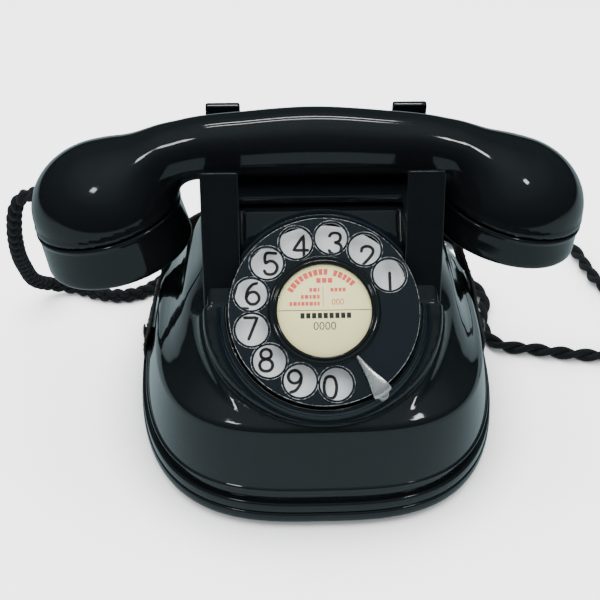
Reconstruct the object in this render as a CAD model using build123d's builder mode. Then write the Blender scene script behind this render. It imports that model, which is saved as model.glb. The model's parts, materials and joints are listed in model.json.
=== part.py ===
from build123d import *
import os
from math import sin, cos, pi, radians, sqrt

# Rotary desk telephone, millimetres.
# Origin: centre of the footprint on the table.  +X right as the user
# faces the dial, -Y front, +Z up.

os.makedirs("parts", exist_ok=True)

# ------------------------------------------------------------------ shared dimensions
# Ovals are (half width, front y, rear y, y of the widest place, front power, rear power).

# heights of the base and case
FOOT_H = 3.0             # rubber feet lift the base plate
FLOOR_Z = FOOT_H + 1.8   # upper face of the base plate's floor
RIM_Z = 8.5              # top of the base plate rim
FLANGE_Z = 13.5          # top of the case flange
GROOVE_Z = 21.5          # top of the recessed band
CREASE_Z = 52.5          # where the skirt turns into the shoulder
ROOF_Z = 116.4           # top of the neck
WALL = 1.8               # pressed steel shell
DROP = 2.0               # wall thickness taken downward under shallow faces

BASE_OVAL = (84.0, -95.0, 95.0, 39.0, 3.06, 2.9)
BASE_ROOM_OVAL = (75.5, -90.0, 83.5, 28.0, 3.06, 2.8)
FLANGE_OVAL = (83.4, -94.4, 94.4, 36.0, 3.06, 2.9)
BAND_OVAL = (78.4, -92.4, 86.0, 28.0, 3.1, 2.8)
SKIRT_OVAL = (79.6, -93.9, 86.5, 26.0, 3.2, 2.8)
SKIRT_ROOM_OVAL = (76.0, -90.4, 84.0, 26.0, 3.06, 2.8)
CREASE_OVAL = (72.3, -92.5, 64.0, 7.5, 3.5, 2.9)
BEAD_OUT = 0.7           # how far the bead stands out from the skirt's foot

# plan sections of the case from the crease up: z, then the oval
SHOULDER = [
    (CREASE_Z, *CREASE_OVAL),
    (55.0, 69.8, -88.5, 60.5, 5.0, 3.5, 3.0),
    (59.0, 66.9, -81.0, 55.0, 0.0, 3.6, 3.1),
    (65.0, 63.6, -71.5, 47.0, -5.0, 3.9, 3.3),
    (73.0, 60.3, -62.0, 38.5, -8.0, 4.3, 3.7),
    (82.0, 57.2, -53.2, 31.0, -10.0, 4.8, 4.2),
    (92.0, 52.2, -49.4, 25.0, -11.0, 5.4, 4.8),
    (102.0, 47.0, -47.2, 21.0, -12.0, 6.0, 5.4),
    (110.0, 45.9, -45.2, 18.8, -13.0, 6.4, 6.0),
    (ROOF_Z, 45.4, -43.6, 17.6, -13.0, 6.6, 6.4),
]

SCREW_SPOTS = [(78.6, -10), (-78.6, -10), (79.4, 45), (-79.4, 45)]
OUTLET_X, OUTLET_Z = 34, 15.0  # cord outlets, one each side

# dial
DIAL_Y, DIAL_Z = -66.8, 92.9   # centre of the finger wheel's top face
DIAL_TILT = radians(47.6)      # elevation of the dial's normal
FACE_D = 8.0                   # drum face below the wheel's top face
DRUM_W, DRUM_B = 48.6, 44.0    # drum outline half axes
DRUM_TOP = 3.7                 # where the wide part of the drum ends
PAD_W, PAD_TOP = 31.5, 43.6    # half width and top edge of the pad above the drum
PAD_GAP = 1.4                  # clearance each side of the pad

# cradle
PRONG_IN, PRONG_OUT = 33.2, 48.2  # x span of each prong
HANDSET_Y = -10.0
PLUNGER_Y = HANDSET_Y + 2

# carrying strap
STRAP_Y, STRAP_W = 11.0, 15.0
STUD_Z = 26.0
STRAP_TRAVEL = 6.0

RUN = 0.05                     # radial running clearance

dial_plane = Plane(
    origin=(0, DIAL_Y, DIAL_Z),
    x_dir=(1, 0, 0),
    z_dir=(0, -cos(DIAL_TILT), sin(DIAL_TILT)),
)


# ------------------------------------------------------------------ helpers
def at_x(x):
    """Upright plane at x, facing right."""
    return Plane.YZ.offset(x)


def at_y(y):
    """Upright plane at y, facing the front."""
    return Plane.XZ.offset(-y)


def at_z(z):
    """Level plane at z, facing up."""
    return Plane.XY.offset(z)


def dial_level(depth):
    """Plane this far below the finger wheel's top face, facing out of the dial."""
    return dial_plane.offset(-depth)


def draw_oval(half_width, front, rear, widest, front_power, rear_power, inset=0.0):
    """Closed plan outline, drawn in the current BuildLine."""
    half_width, front, rear = half_width - inset, front + inset, rear - inset
    count = 48
    points = []
    for i in range(count):
        angle = 2 * pi * i / count
        across, along = sin(angle), cos(angle)
        power, end = (front_power, front) if along >= 0 else (rear_power, rear)
        x = half_width * abs(across) ** (2 / power) * (1 if across >= 0 else -1)
        y = widest + (end - widest) * abs(along) ** (2 / power)
        points.append((x, y))
    Spline(*points, periodic=True)


def draw_drum(inset=0.0):
    """U outline of the drum with the narrower pad above it, in the current BuildLine."""
    pad_x, pad_y = PAD_W - inset, PAD_TOP - inset
    drum_x, drum_y = DRUM_W - inset, DRUM_TOP - inset
    bowl = []
    for i in range(1, 24):
        angle = pi * i / 24
        bowl.append((drum_x * cos(angle), -(DRUM_B - inset) * sin(angle)))
    Polyline((-pad_x, pad_y), (pad_x, pad_y), (pad_x, drum_y), (drum_x, drum_y), (drum_x, 0))
    Spline((drum_x, 0), *bowl, (-drum_x, 0), tangents=((0, -1), (0, 1)))
    Polyline((-drum_x, 0), (-drum_x, drum_y), (-pad_x, drum_y), (-pad_x, pad_y))


def draw_gear(teeth, module, phase, root=1.15, centre=(0, 0)):
    """Straight-flanked gear with generous backlash, in the current BuildLine."""
    pitch_r = teeth * module / 2
    tip_r, root_r = pitch_r + 0.9 * module, pitch_r - root * module
    pitch = 2 * pi / teeth
    half = pitch * 0.25 * 0.86  # half a tooth's angle at the pitch circle
    tooth = (
        (root_r, -half * 1.45), (pitch_r, -half), (tip_r, -half * 0.48),
        (tip_r, half * 0.48), (pitch_r, half), (root_r, half * 1.45),
    )
    points = []
    for i in range(teeth):
        for r, turn in tooth:
            angle = phase + i * pitch + turn
            points.append((centre[0] + r * cos(angle), centre[1] + r * sin(angle)))
    Polyline(*points, close=True)


def save(builder, name):
    """Label the finished part and write its STEP file."""
    builder.part.label = name
    export_step(builder.part, f"parts/{name}.step")


# ------------------------------------------------------------------ case
# the room inside the shell
with BuildPart() as case_core:
    for z, *oval in SHOULDER:
        with BuildSketch(at_z(z - DROP)):
            with BuildLine():
                draw_oval(*oval, inset=WALL)
            make_face()
    loft()
    with BuildSketch(dial_level(FACE_D + WALL)):
        with Locations((0, DRUM_TOP + 60)):
            Rectangle(2 * (PAD_W + PAD_GAP + WALL), 120)
    extrude(amount=60, mode=Mode.SUBTRACT)
    with BuildSketch(dial_level(FACE_D + WALL)):
        with BuildLine():
            draw_drum(inset=WALL)
        make_face()
    extrude(amount=-16)
    # trim level under the roof
    with BuildSketch(at_z(ROOF_Z - DROP)):
        Rectangle(200, 260)
    extrude(amount=40, mode=Mode.SUBTRACT)
    # skirt room
    with BuildSketch(at_z(RIM_Z - 1.0)):
        with BuildLine():
            draw_oval(*SKIRT_ROOM_OVAL)
        make_face()
    with BuildSketch(at_z(CREASE_Z - DROP)):
        with BuildLine():
            draw_oval(*CREASE_OVAL, inset=WALL)
        make_face()
    loft(ruled=True)

with BuildPart() as case:
    # shoulder and neck
    for z, *oval in SHOULDER:
        with BuildSketch(at_z(z)):
            with BuildLine():
                draw_oval(*oval)
            make_face()
    loft()
    # recess for the pad between the prongs
    with BuildSketch(dial_level(FACE_D)):
        with Locations((0, DRUM_TOP + 60)):
            Rectangle(2 * (PAD_W + PAD_GAP), 120)
    extrude(amount=60, mode=Mode.SUBTRACT)
    # dial drum with the pad above it
    with BuildSketch(dial_level(FACE_D)):
        with BuildLine():
            draw_drum()
        make_face()
    extrude(amount=-17)
    # trim level at the roof
    with BuildSketch(at_z(ROOF_Z)):
        Rectangle(200, 260)
    extrude(amount=40, mode=Mode.SUBTRACT)
    # skirt
    with BuildSketch(at_z(GROOVE_Z)):
        with BuildLine():
            draw_oval(*SKIRT_OVAL)
        make_face()
    with BuildSketch(at_z(CREASE_Z)):
        with BuildLine():
            draw_oval(*CREASE_OVAL)
        make_face()
    loft(ruled=True)
    # bead at the foot of the skirt
    with BuildSketch(at_z(GROOVE_Z - 0.6)):
        with BuildLine():
            draw_oval(*SKIRT_OVAL, inset=-BEAD_OUT)
        make_face()
    extrude(amount=1.8)
    # recessed band
    with BuildSketch(at_z(FLANGE_Z - 0.5)):
        with BuildLine():
            draw_oval(*BAND_OVAL)
        make_face()
    extrude(amount=GROOVE_Z - FLANGE_Z + 0.8)
    # flange
    with BuildSketch(at_z(RIM_Z)):
        with BuildLine():
            draw_oval(*FLANGE_OVAL)
        make_face()
    extrude(amount=FLANGE_Z - RIM_Z)
    add(case_core.part, mode=Mode.SUBTRACT)
    # dial opening
    with BuildSketch(dial_level(FACE_D - 3)):
        Circle(37.4)
    extrude(amount=-12, mode=Mode.SUBTRACT)
    # plunger hole in the roof
    with BuildSketch(at_z(ROOF_Z + 1)):
        with Locations((0, PLUNGER_Y)):
            Circle(5.0)
    extrude(amount=-6, mode=Mode.SUBTRACT)
    # cord outlets at the back of the skirt
    with BuildSketch(at_y(110)):
        with Locations((-OUTLET_X, OUTLET_Z), (OUTLET_X, OUTLET_Z)):
            Circle(6.0)
    extrude(amount=32, mode=Mode.SUBTRACT)
    # blind screw holes in the flange
    with BuildSketch(at_z(RIM_Z - 1)):
        with Locations(*SCREW_SPOTS):
            Circle(1.5)
    extrude(amount=FLANGE_Z - RIM_Z - 1, mode=Mode.SUBTRACT)
    # holes for the strap studs
    with BuildSketch(at_x(-100)):
        with Locations((STRAP_Y, STUD_Z)):
            Circle(2.3)
    extrude(amount=200, mode=Mode.SUBTRACT)
save(case, "case")

# ------------------------------------------------------------------ base
SCREW_HEAD_Z, SCREW_HEAD_H = FOOT_H + 0.4, 1.5

with BuildPart() as base_plate:
    with BuildSketch(at_z(FOOT_H)):
        with BuildLine():
            draw_oval(*BASE_OVAL)
        make_face()
    extrude(amount=RIM_Z - 0.1 - FOOT_H)
    fillet(base_plate.faces().sort_by(Axis.Z)[0].edges(), 2.0)
    fillet(base_plate.faces().sort_by(Axis.Z)[-1].edges(), 1.0)
    # hollow, leaving the floor and rim
    with BuildSketch(at_z(FLOOR_Z)):
        with BuildLine():
            draw_oval(*BASE_ROOM_OVAL)
        make_face()
    extrude(amount=10, mode=Mode.SUBTRACT)
    # screw holes and their counterbores from below
    for radius, amount in ((1.7, 10), (3.4, 2.9)):
        with BuildSketch(at_z(FOOT_H - 1)):
            with Locations(*SCREW_SPOTS):
                Circle(radius)
        extrude(amount=amount, mode=Mode.SUBTRACT)
save(base_plate, "base_plate")

with BuildPart() as base_screws:
    with BuildSketch(at_z(SCREW_HEAD_Z)):
        with Locations(*SCREW_SPOTS):
            Circle(3.1)
    extrude(amount=SCREW_HEAD_H)
    with BuildSketch(at_z(SCREW_HEAD_Z + SCREW_HEAD_H)):
        with Locations(*SCREW_SPOTS):
            Circle(1.45)
    extrude(amount=6.4)
    # driver slots
    with BuildSketch(at_z(FOOT_H)):
        with Locations(*SCREW_SPOTS):
            Rectangle(7, 0.9)
    extrude(amount=1.2, mode=Mode.SUBTRACT)
save(base_screws, "base_screws")

with BuildPart() as rubber_feet:
    with BuildSketch():
        with Locations((56, -58), (-56, -58), (58, 60), (-58, 60)):
            Circle(8.0)
    extrude(amount=FOOT_H, taper=6)
save(rubber_feet, "rubber_feet")

# ------------------------------------------------------------------ cradle
PRONG_TOP = 140.8
LEAN = 0.2413                       # front prongs' backward lean, dy/dz
PRONG_Y0, PRONG_Z0 = -54.5, 86.5    # a point on the front prongs' front face
PRONG_T_Y = 3.0 * sqrt(1 + LEAN * LEAN)  # prong thickness measured along y
PRONG_FOOT_Z = PRONG_Z0 - 0.2       # foot of the front prongs
SADDLE_Z0, SADDLE_Z1 = 118.4, 121.8
SADDLE_MIDDLE_Y = -27.5             # front edge of the saddle between the arms
REAR_TOP_Y = 22.2                   # rear face of the rear prongs, at the top
REAR_FOOT_Y = REAR_TOP_Y + LEAN * (PRONG_TOP - SADDLE_Z0)


def prong_face(z):
    """y of the front prongs' front face at height z."""
    return PRONG_Y0 + LEAN * (z - PRONG_Z0)


ARM_FRONT_Y = prong_face(120) + 1

with BuildPart() as cradle:
    # U-shaped saddle plate, open to the front
    with BuildSketch(at_z(SADDLE_Z0)):
        with BuildLine():
            Polyline(
                (-PRONG_OUT, REAR_FOOT_Y), (-PRONG_OUT, ARM_FRONT_Y),
                (-PRONG_IN, ARM_FRONT_Y), (-PRONG_IN, SADDLE_MIDDLE_Y),
                (PRONG_IN, SADDLE_MIDDLE_Y), (PRONG_IN, ARM_FRONT_Y),
                (PRONG_OUT, ARM_FRONT_Y), (PRONG_OUT, REAR_FOOT_Y),
                (-PRONG_OUT, REAR_FOOT_Y),
            )
        make_face()
    extrude(amount=SADDLE_Z1 - SADDLE_Z0)
    # four flat prongs; the front pair runs down over the neck to the drum
    for prong_x in (PRONG_IN, -PRONG_OUT):
        with BuildSketch(at_x(prong_x)):
            with BuildLine():
                foot_y, top_y = prong_face(PRONG_FOOT_Z), prong_face(PRONG_TOP)
                Polyline(
                    (foot_y, PRONG_FOOT_Z), (top_y, PRONG_TOP),
                    (top_y + PRONG_T_Y, PRONG_TOP), (foot_y + PRONG_T_Y, PRONG_FOOT_Z),
                    (foot_y, PRONG_FOOT_Z),
                )
            make_face()
            with BuildLine():
                Polyline(
                    (REAR_FOOT_Y, SADDLE_Z0), (REAR_TOP_Y, PRONG_TOP),
                    (REAR_TOP_Y - PRONG_T_Y, PRONG_TOP), (REAR_FOOT_Y - PRONG_T_Y, SADDLE_Z0),
                    (REAR_FOOT_Y, SADDLE_Z0),
                )
            make_face()
        extrude(amount=PRONG_OUT - PRONG_IN)
    fillet([e for e in cradle.edges().filter_by(Axis.X) if e.center().Z > PRONG_TOP - 0.1], 0.8)
    # stepped plunger through the roof: top z, radius, length
    for z, radius, length in ((SADDLE_Z0 + 0.5, 3.6, 27), (93, 2.0, 9.4)):
        with BuildSketch(at_z(z)):
            with Locations((0, PLUNGER_Y)):
                Circle(radius)
        extrude(amount=-length)
save(cradle, "cradle")

# ------------------------------------------------------------------ hook switch
LEVER_Y, LEVER_Z = 9.0, 81.0     # lever pivot
LEVER_PIN_R = 1.5
SHEET = 1.6                      # thickness of the bracket and of the ringer frame
PILE_Y = 8.2                     # middle of the spring pile

with BuildPart() as hook_bracket:
    # upright plate
    with BuildSketch(at_y(13.6)):
        with Locations((0, 90.1)):
            Rectangle(24, 48.2)
    extrude(amount=-SHEET)
    # top flange under the roof
    with BuildSketch(at_z(112.6)):
        with Locations((0, 9.5)):
            Rectangle(24, 9)
    extrude(amount=SHEET)
    # cheeks either side of the lever
    for cheek_x in (-7.0, 5.4):
        with BuildSketch(at_x(cheek_x)):
            with Locations((9.8, LEVER_Z)):
                Rectangle(9.0, 9.0)
            with Locations((LEVER_Y, LEVER_Z)):
                Circle(LEVER_PIN_R + RUN, mode=Mode.SUBTRACT)
        extrude(amount=SHEET)
save(hook_bracket, "hook_bracket")

with BuildPart() as hook_lever:
    with BuildSketch(at_x(-4.0)):
        with Locations((-1.0, LEVER_Z)):
            Rectangle(22.0, 4.0)
        with Locations((LEVER_Y, LEVER_Z)):
            Circle(3.4)
    extrude(amount=8.0)
    # pivot pin
    with BuildSketch(at_x(-7.4)):
        with Locations((LEVER_Y, LEVER_Z)):
            Circle(LEVER_PIN_R)
    extrude(amount=14.8)
save(hook_lever, "hook_lever")

with BuildPart() as hook_springs:
    # spring pile in front of the bracket's plate
    with BuildSketch(at_z(66.4)):
        with Locations((0, PILE_Y)):
            Rectangle(10, 10.6)
    extrude(amount=7.6)
    # leaves running forward: z, reach
    for z, reach in ((67.6, 26.0), (70.0, 30.0), (72.4, 24.0)):
        with BuildSketch(at_z(z)):
            with Locations((0, PILE_Y - 5.0 - reach / 2)):
                Rectangle(5, reach)
        extrude(amount=0.5)
save(hook_springs, "hook_springs")

# ------------------------------------------------------------------ dial
WHEEL_R = 38.2
HOLE_CIRCLE_R = 29.7         # finger hole circle
HOLE_R = 6.5
HOLE_ONE = 28.1              # angle of hole 1, degrees
HOLE_STEP = 27.72            # degrees between holes
STOP_ANGLE = radians(-56.5)  # finger stop
CARD_R = 18.7                # label card and its window
LABEL_D = 0.85               # underside of the label parts
SHAFT_R = 3.0
BRIDGE_D = 29.0              # outer face of the rear bridge
NOTCH_X = PRONG_IN + 9.65    # middle of the notches that clear the prongs

# gear train: main gear > cam pinion and its wheel > governor pinion
MAIN_TEETH, CAM_TEETH, MAIN_MODULE = 60, 12, 0.8
FAST_TEETH, GOV_TEETH, FAST_MODULE = 36, 12, 0.5
MESH_GAP = 0.15              # added to each centre distance
CAM_PIN_R, GOV_PIN_R = 1.5, 1.2
CAM_A, GOV_A = radians(200), radians(340)  # directions from one centre to the next
CAM_DIST = (MAIN_TEETH + CAM_TEETH) * MAIN_MODULE / 2 + MESH_GAP
GOV_DIST = (FAST_TEETH + GOV_TEETH) * FAST_MODULE / 2 + MESH_GAP
CAM = (CAM_DIST * cos(CAM_A), CAM_DIST * sin(CAM_A))
GOV = (CAM[0] + GOV_DIST * cos(GOV_A), CAM[1] + GOV_DIST * sin(GOV_A))

with BuildPart() as dial_bezel:
    with BuildSketch(dial_level(FACE_D)):
        Circle(41.4)
        Circle(38.9, mode=Mode.SUBTRACT)
    extrude(amount=4.6)
    with BuildSketch(dial_level(FACE_D + 0.1)):
        with Locations((PRONG_IN + 9.4, 22), (-PRONG_IN - 9.4, 22)):
            Rectangle(20, 38)
    extrude(amount=8, mode=Mode.SUBTRACT)
save(dial_bezel, "dial_bezel")

with BuildPart() as number_ring:
    with BuildSketch(dial_level(8.2)):
        Circle(36.9)
        Circle(19.0, mode=Mode.SUBTRACT)
    extrude(amount=0.9)
    with BuildSketch(dial_level(9)):
        with Locations((NOTCH_X, 22), (-NOTCH_X, 22)):
            Rectangle(20, 38)
    extrude(amount=3, mode=Mode.SUBTRACT)
save(number_ring, "number_ring")

with BuildPart() as dial_frame:
    # front plate
    with BuildSketch(dial_level(15.5)):
        Circle(36.4)
        Circle(SHAFT_R + RUN, mode=Mode.SUBTRACT)
        with Locations(CAM):
            Circle(CAM_PIN_R + RUN, mode=Mode.SUBTRACT)
    extrude(amount=1.5)
    # posts up towards the number ring
    with BuildSketch(dial_level(14.2)):
        with PolarLocations(34.2, 3, start_angle=75):
            Circle(1.8)
    extrude(amount=5.9)
    # pillars and rear bridge
    with BuildSketch(dial_level(15.2)):
        with PolarLocations(27.5, 3, start_angle=20, angular_range=210):
            Circle(1.8)
    extrude(amount=-14.0)
    with BuildSketch(dial_level(BRIDGE_D)):
        Circle(30.0)
        Circle(SHAFT_R + RUN, mode=Mode.SUBTRACT)
        with Locations(CAM):
            Circle(CAM_PIN_R + RUN, mode=Mode.SUBTRACT)
        with Locations(GOV):
            Circle(GOV_PIN_R + RUN, mode=Mode.SUBTRACT)
    extrude(amount=-1.4)
    with BuildSketch(dial_level(18)):
        with Locations((NOTCH_X, 21), (-NOTCH_X, 21)):
            Rectangle(20, 40)
    extrude(amount=6, mode=Mode.SUBTRACT)
save(dial_frame, "dial_frame")

# flat spiral mainspring around the shaft, clear of it: four turns
inner, outer = [], []
for i in range(73):
    angle = i * 2 * pi / 18
    r = 5.2 + 11.0 * i / 72
    inner.append((r * cos(angle), r * sin(angle)))
    outer.append(((r + 0.7) * cos(angle), (r + 0.7) * sin(angle)))

with BuildPart() as dial_spring:
    with BuildSketch(dial_level(13.4)):
        with BuildLine():
            Spline(*inner)
            Line(inner[-1], outer[-1])
            Spline(*outer[::-1])
            Line(outer[0], inner[0])
        make_face()
    extrude(amount=3.6)
save(dial_spring, "dial_spring")

with BuildPart() as finger_wheel:
    with BuildSketch(dial_plane):
        Circle(WHEEL_R)
        for k in range(10):
            angle = radians(HOLE_ONE + k * HOLE_STEP)
            with Locations((HOLE_CIRCLE_R * cos(angle), HOLE_CIRCLE_R * sin(angle))):
                Circle(HOLE_R, mode=Mode.SUBTRACT)
        Circle(SHAFT_R, mode=Mode.SUBTRACT)
    extrude(amount=-2.2)
    circles = finger_wheel.edges().filter_by(GeomType.CIRCLE)
    fillet([e for e in circles if e.radius > WHEEL_R - 0.1], 0.9)
    # seat for the label
    with BuildSketch(dial_level(0.9)):
        Circle(21.9)
        Circle(SHAFT_R, mode=Mode.SUBTRACT)
    extrude(amount=2, mode=Mode.SUBTRACT)
    # hub
    with BuildSketch(dial_level(2.0)):
        Circle(7.0)
        Circle(SHAFT_R, mode=Mode.SUBTRACT)
    extrude(amount=-4.2)
save(finger_wheel, "finger_wheel")

with BuildPart() as label_ring:
    with BuildSketch(dial_level(LABEL_D)):
        Circle(21.8)
        Circle(CARD_R + 0.1, mode=Mode.SUBTRACT)
    extrude(amount=2.6)
    dial_axis = Axis(dial_plane.origin, dial_plane.z_dir)
    fillet(label_ring.faces().sort_by(dial_axis)[-1].edges(), 1.2)
save(label_ring, "label_ring")

with BuildPart() as label_card:
    with BuildSketch(dial_level(LABEL_D)):
        Circle(CARD_R)
    extrude(amount=0.4)
save(label_card, "label_card")

with BuildPart() as label_window:
    with BuildSketch(dial_level(0.2)):
        Circle(CARD_R)
    extrude(amount=0.6)
save(label_window, "label_window")

with BuildPart() as dial_shaft:
    with BuildSketch(dial_level(1.0)):
        Circle(SHAFT_R - 0.02)
    extrude(amount=-31.5)
save(dial_shaft, "dial_shaft")

with BuildPart() as main_gear:
    with BuildSketch(dial_level(17.2)):
        with BuildLine():
            draw_gear(MAIN_TEETH, MAIN_MODULE, phase=CAM_A + pi / MAIN_TEETH)
        make_face()
        Circle(SHAFT_R, mode=Mode.SUBTRACT)
        with PolarLocations(14.5, 4):
            Circle(4.6, mode=Mode.SUBTRACT)
    extrude(amount=-1.8)
save(main_gear, "main_gear")

with BuildPart() as cam_pinion:
    # pinion, wheel behind it, and their common pin
    with BuildSketch(dial_level(16.8)):
        with BuildLine():
            draw_gear(CAM_TEETH, MAIN_MODULE, phase=CAM_A + pi, root=1.1, centre=CAM)
        make_face()
    extrude(amount=-2.6)
    with BuildSketch(dial_level(22.0)):
        with BuildLine():
            draw_gear(FAST_TEETH, FAST_MODULE, phase=GOV_A + pi / FAST_TEETH, centre=CAM)
        make_face()
    extrude(amount=-1.6)
    with BuildSketch(dial_level(13.0)):
        with Locations(CAM):
            Circle(CAM_PIN_R)
    extrude(amount=-18.0)
save(cam_pinion, "cam_pinion")

with BuildPart() as governor:
    with BuildSketch(dial_level(21.6)):
        with BuildLine():
            draw_gear(GOV_TEETH, FAST_MODULE, phase=GOV_A + pi, root=1.1, centre=GOV)
        make_face()
    extrude(amount=-2.4)
    with BuildSketch(dial_level(20.6)):
        with Locations(GOV):
            Circle(GOV_PIN_R)
    extrude(amount=-10.4)
    # hub, cross arm and the weights at its ends
    with BuildSketch(dial_level(25.2)):
        with Locations(GOV):
            Circle(2.2)
        with Locations(GOV):
            Rectangle(11.0, 1.2)
        with Locations((GOV[0] - 5.5, GOV[1]), (GOV[0] + 5.5, GOV[1])):
            Rectangle(2.0, 5.0)
    extrude(amount=-2.8)
save(governor, "governor")

with BuildPart() as impulse_springs:
    # block, then three leaves
    with BuildSketch(dial_level(19.6)):
        with Locations((21.0, -20.5)):
            Rectangle(7, 6)
    extrude(amount=-7.4)
    for depth in (20.2, 22.4, 24.6):
        with BuildSketch(dial_level(depth)):
            with Locations((10.0, -21.5)):
                Rectangle(24, 3.2)
        extrude(amount=-0.45)
save(impulse_springs, "impulse_springs")


def stop_point(out, across):
    """Dial point this far out along the finger stop and this far across it."""
    along_x, along_y = cos(STOP_ANGLE), sin(STOP_ANGLE)
    return (out * along_x - across * along_y, out * along_y + across * along_x)


# outlines of the stop: distance out, distance across
STOP_BLADE = [(22.6, -1.0), (40.6, -4.2), (41.9, 0), (40.6, 4.2), (22.6, 1.0)]
STOP_FOOT = [(39.4, -3.9), (41.0, -4.2), (42.1, 0), (41.0, 4.2), (39.4, 3.9), (40.2, 0)]

with BuildPart() as finger_stop:
    # blade over the wheel, then the foot down past its edge
    for depth, outline, amount in ((-0.75, STOP_BLADE, 1.1), (-1.0, STOP_FOOT, -4.4)):
        with BuildSketch(dial_level(depth)):
            with BuildLine():
                Polyline(*[stop_point(*point) for point in outline], close=True)
            make_face()
        extrude(amount=amount)
save(finger_stop, "finger_stop")

# ------------------------------------------------------------------ handset
# The mouthpiece cup is on the left, the earpiece cup on the right.
CUP_TILT = 12.0
LEFT_X, LEFT_Z, LEFT_H, LEFT_CAP = -86.5, 87.2, 48.0, 20.0     # rim centre, height, cap height
RIGHT_X, RIGHT_Z, RIGHT_H, RIGHT_CAP = 80.5, 94.6, 40.5, 14.0
CUP_R = 33.0
DOME_R = CUP_R - 1.4
CAP_BORE_R = 29.3
CAPSULE_R = 26.3

# handle sections: x, centre height, half depth, half height
HANDLE = [
    (-86, 119.0, 15.0, 11.0),
    (-75, 127.3, 14.0, 12.6),
    (-57, 134.6, 12.2, 11.9),
    (-30, 136.3, 13.2, 13.6),
    (-2.5, 137.2, 13.5, 14.4),
    (25, 136.3, 13.2, 13.6),
    (51.5, 134.6, 12.2, 11.9),
    (69, 128.0, 14.0, 12.6),
    (80, 121.0, 15.0, 11.0),
]


def cup_plane(x, z, lean):
    """Plane at a cup's rim: origin on the cup's axis, z axis up along it."""
    t = radians(lean)
    return Plane(origin=(x, HANDSET_Y, z), x_dir=(cos(t), 0, sin(t)), z_dir=(-sin(t), 0, cos(t)))


def cup_section(cup):
    """Plane through a cup's axis: x outward from the axis, y up along it."""
    return Plane(origin=cup.origin, x_dir=cup.x_dir, z_dir=-cup.y_dir)


def dome_arc(cap_h, height):
    """Outline of a cup's dome, from its edge above the cap to its top on the axis."""
    base = cap_h + 3.5
    arc = []
    for i in range(10):
        angle = i / 10 * pi / 2
        arc.append((DOME_R * cos(angle) ** 0.9, base + (height - base) * sin(angle)))
    return arc + [(0.0, height)]


left_cup = cup_plane(LEFT_X, LEFT_Z, CUP_TILT)
right_cup = cup_plane(RIGHT_X, RIGHT_Z, -CUP_TILT)

# cord entry, outside the mouthpiece cup towards the back
CORD_DIR = (-0.915, 0.402, 0)
CORD_OUT = 28.5
CORD_IN = (-90.6 + CORD_OUT * CORD_DIR[0], HANDSET_Y + CORD_OUT * CORD_DIR[1], 106.5)
cord_entry = Plane(origin=CORD_IN, z_dir=CORD_DIR)

with BuildPart() as handset_handle:
    for x, centre_z, half_depth, half_height in HANDLE:
        with BuildSketch(at_x(x)):
            with Locations((HANDSET_Y, centre_z)):
                Ellipse(half_depth, half_height)
    loft()
    # domed cups
    for cup, cap_h, height in ((left_cup, LEFT_CAP, LEFT_H), (right_cup, RIGHT_CAP, RIGHT_H)):
        arc = dome_arc(cap_h, height)
        joint_z = cap_h + 0.4
        with BuildSketch(cup_section(cup)):
            with BuildLine():
                Polyline((0, joint_z), (DOME_R, joint_z), arc[0])
                Spline(*arc)
                Line(arc[-1], (0, joint_z))
            make_face()
        revolve(axis=Axis(cup.origin, cup.z_dir))
    # plain spigots for the caps, and the capsule chambers
    for cup, cap_h in ((left_cup, LEFT_CAP), (right_cup, RIGHT_CAP)):
        with BuildSketch(cup.offset(cap_h - 7.0)):
            Circle(29.0)
        extrude(amount=8.0)
        with BuildSketch(cup.offset(cap_h - 24.0)):
            Circle(26.6)
        extrude(amount=30.5, mode=Mode.SUBTRACT)
    # cord entry in the mouthpiece end
    with BuildSketch(cord_entry):
        Circle(3.85)
    extrude(amount=12, mode=Mode.SUBTRACT)
save(handset_handle, "handset_handle")

with BuildPart() as cord_ferrule:
    with BuildSketch(cord_entry):
        Circle(3.8)
    extrude(amount=6.0)
save(cord_ferrule, "cord_ferrule")

# caps: name, cup, cap height, lower face from the axis out, height of the inner face,
# rings of holes (radius, count) around the central one, depth of the hole cut
CAPS = [
    ("transmitter_cap", left_cup, LEFT_CAP,
     [(0, 0), (CUP_R - 3.5, 0)], 3.2, [(7.0, 6), (13.5, 12)], 6),
    ("receiver_cap", right_cup, RIGHT_CAP,
     [(0, 2.4), (12, 1.4), (26, 0.4), (CUP_R - 3.5, 0)], 4.4, [(6.0, 6)], 8),
]
for name, cup, cap_h, face, inside_z, rings, hole_cut in CAPS:
    with BuildPart() as cap:
        with BuildSketch(cup_section(cup)):
            with BuildLine():
                Polyline(*face)
                ThreePointArc(face[-1], (CUP_R - 0.9, 1.2), (CUP_R, 4.0))
                Polyline(
                    (CUP_R, 4.0), (CUP_R - 1.2, cap_h), (CAP_BORE_R, cap_h),
                    (CAP_BORE_R, inside_z), (0, inside_z), face[0],
                )
            make_face()
        revolve(axis=Axis(cup.origin, cup.z_dir))
        with BuildSketch(cup.offset(-1)):
            Circle(1.3)
            for ring_r, count in rings:
                with PolarLocations(ring_r, count):
                    Circle(1.3)
        extrude(amount=hole_cut, mode=Mode.SUBTRACT)
    save(cap, name)

# capsules, a wide disc with a narrower one above:
# name, cup, start of the wide disc, start and radius of the narrow one, both extrusions
CAPSULES = [
    ("transmitter_capsule", left_cup, 3.4, 12.0, 17.0, 9.0),
    ("receiver_capsule", right_cup, 4.6, 11.4, 20.0, 7.0),
]
for name, cup, wide_z, narrow_z, narrow_r, thickness in CAPSULES:
    with BuildPart() as capsule:
        with BuildSketch(cup.offset(wide_z)):
            Circle(CAPSULE_R)
        extrude(amount=thickness)
        with BuildSketch(cup.offset(narrow_z)):
            Circle(narrow_r)
        extrude(amount=thickness)
    save(capsule, name)

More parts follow.
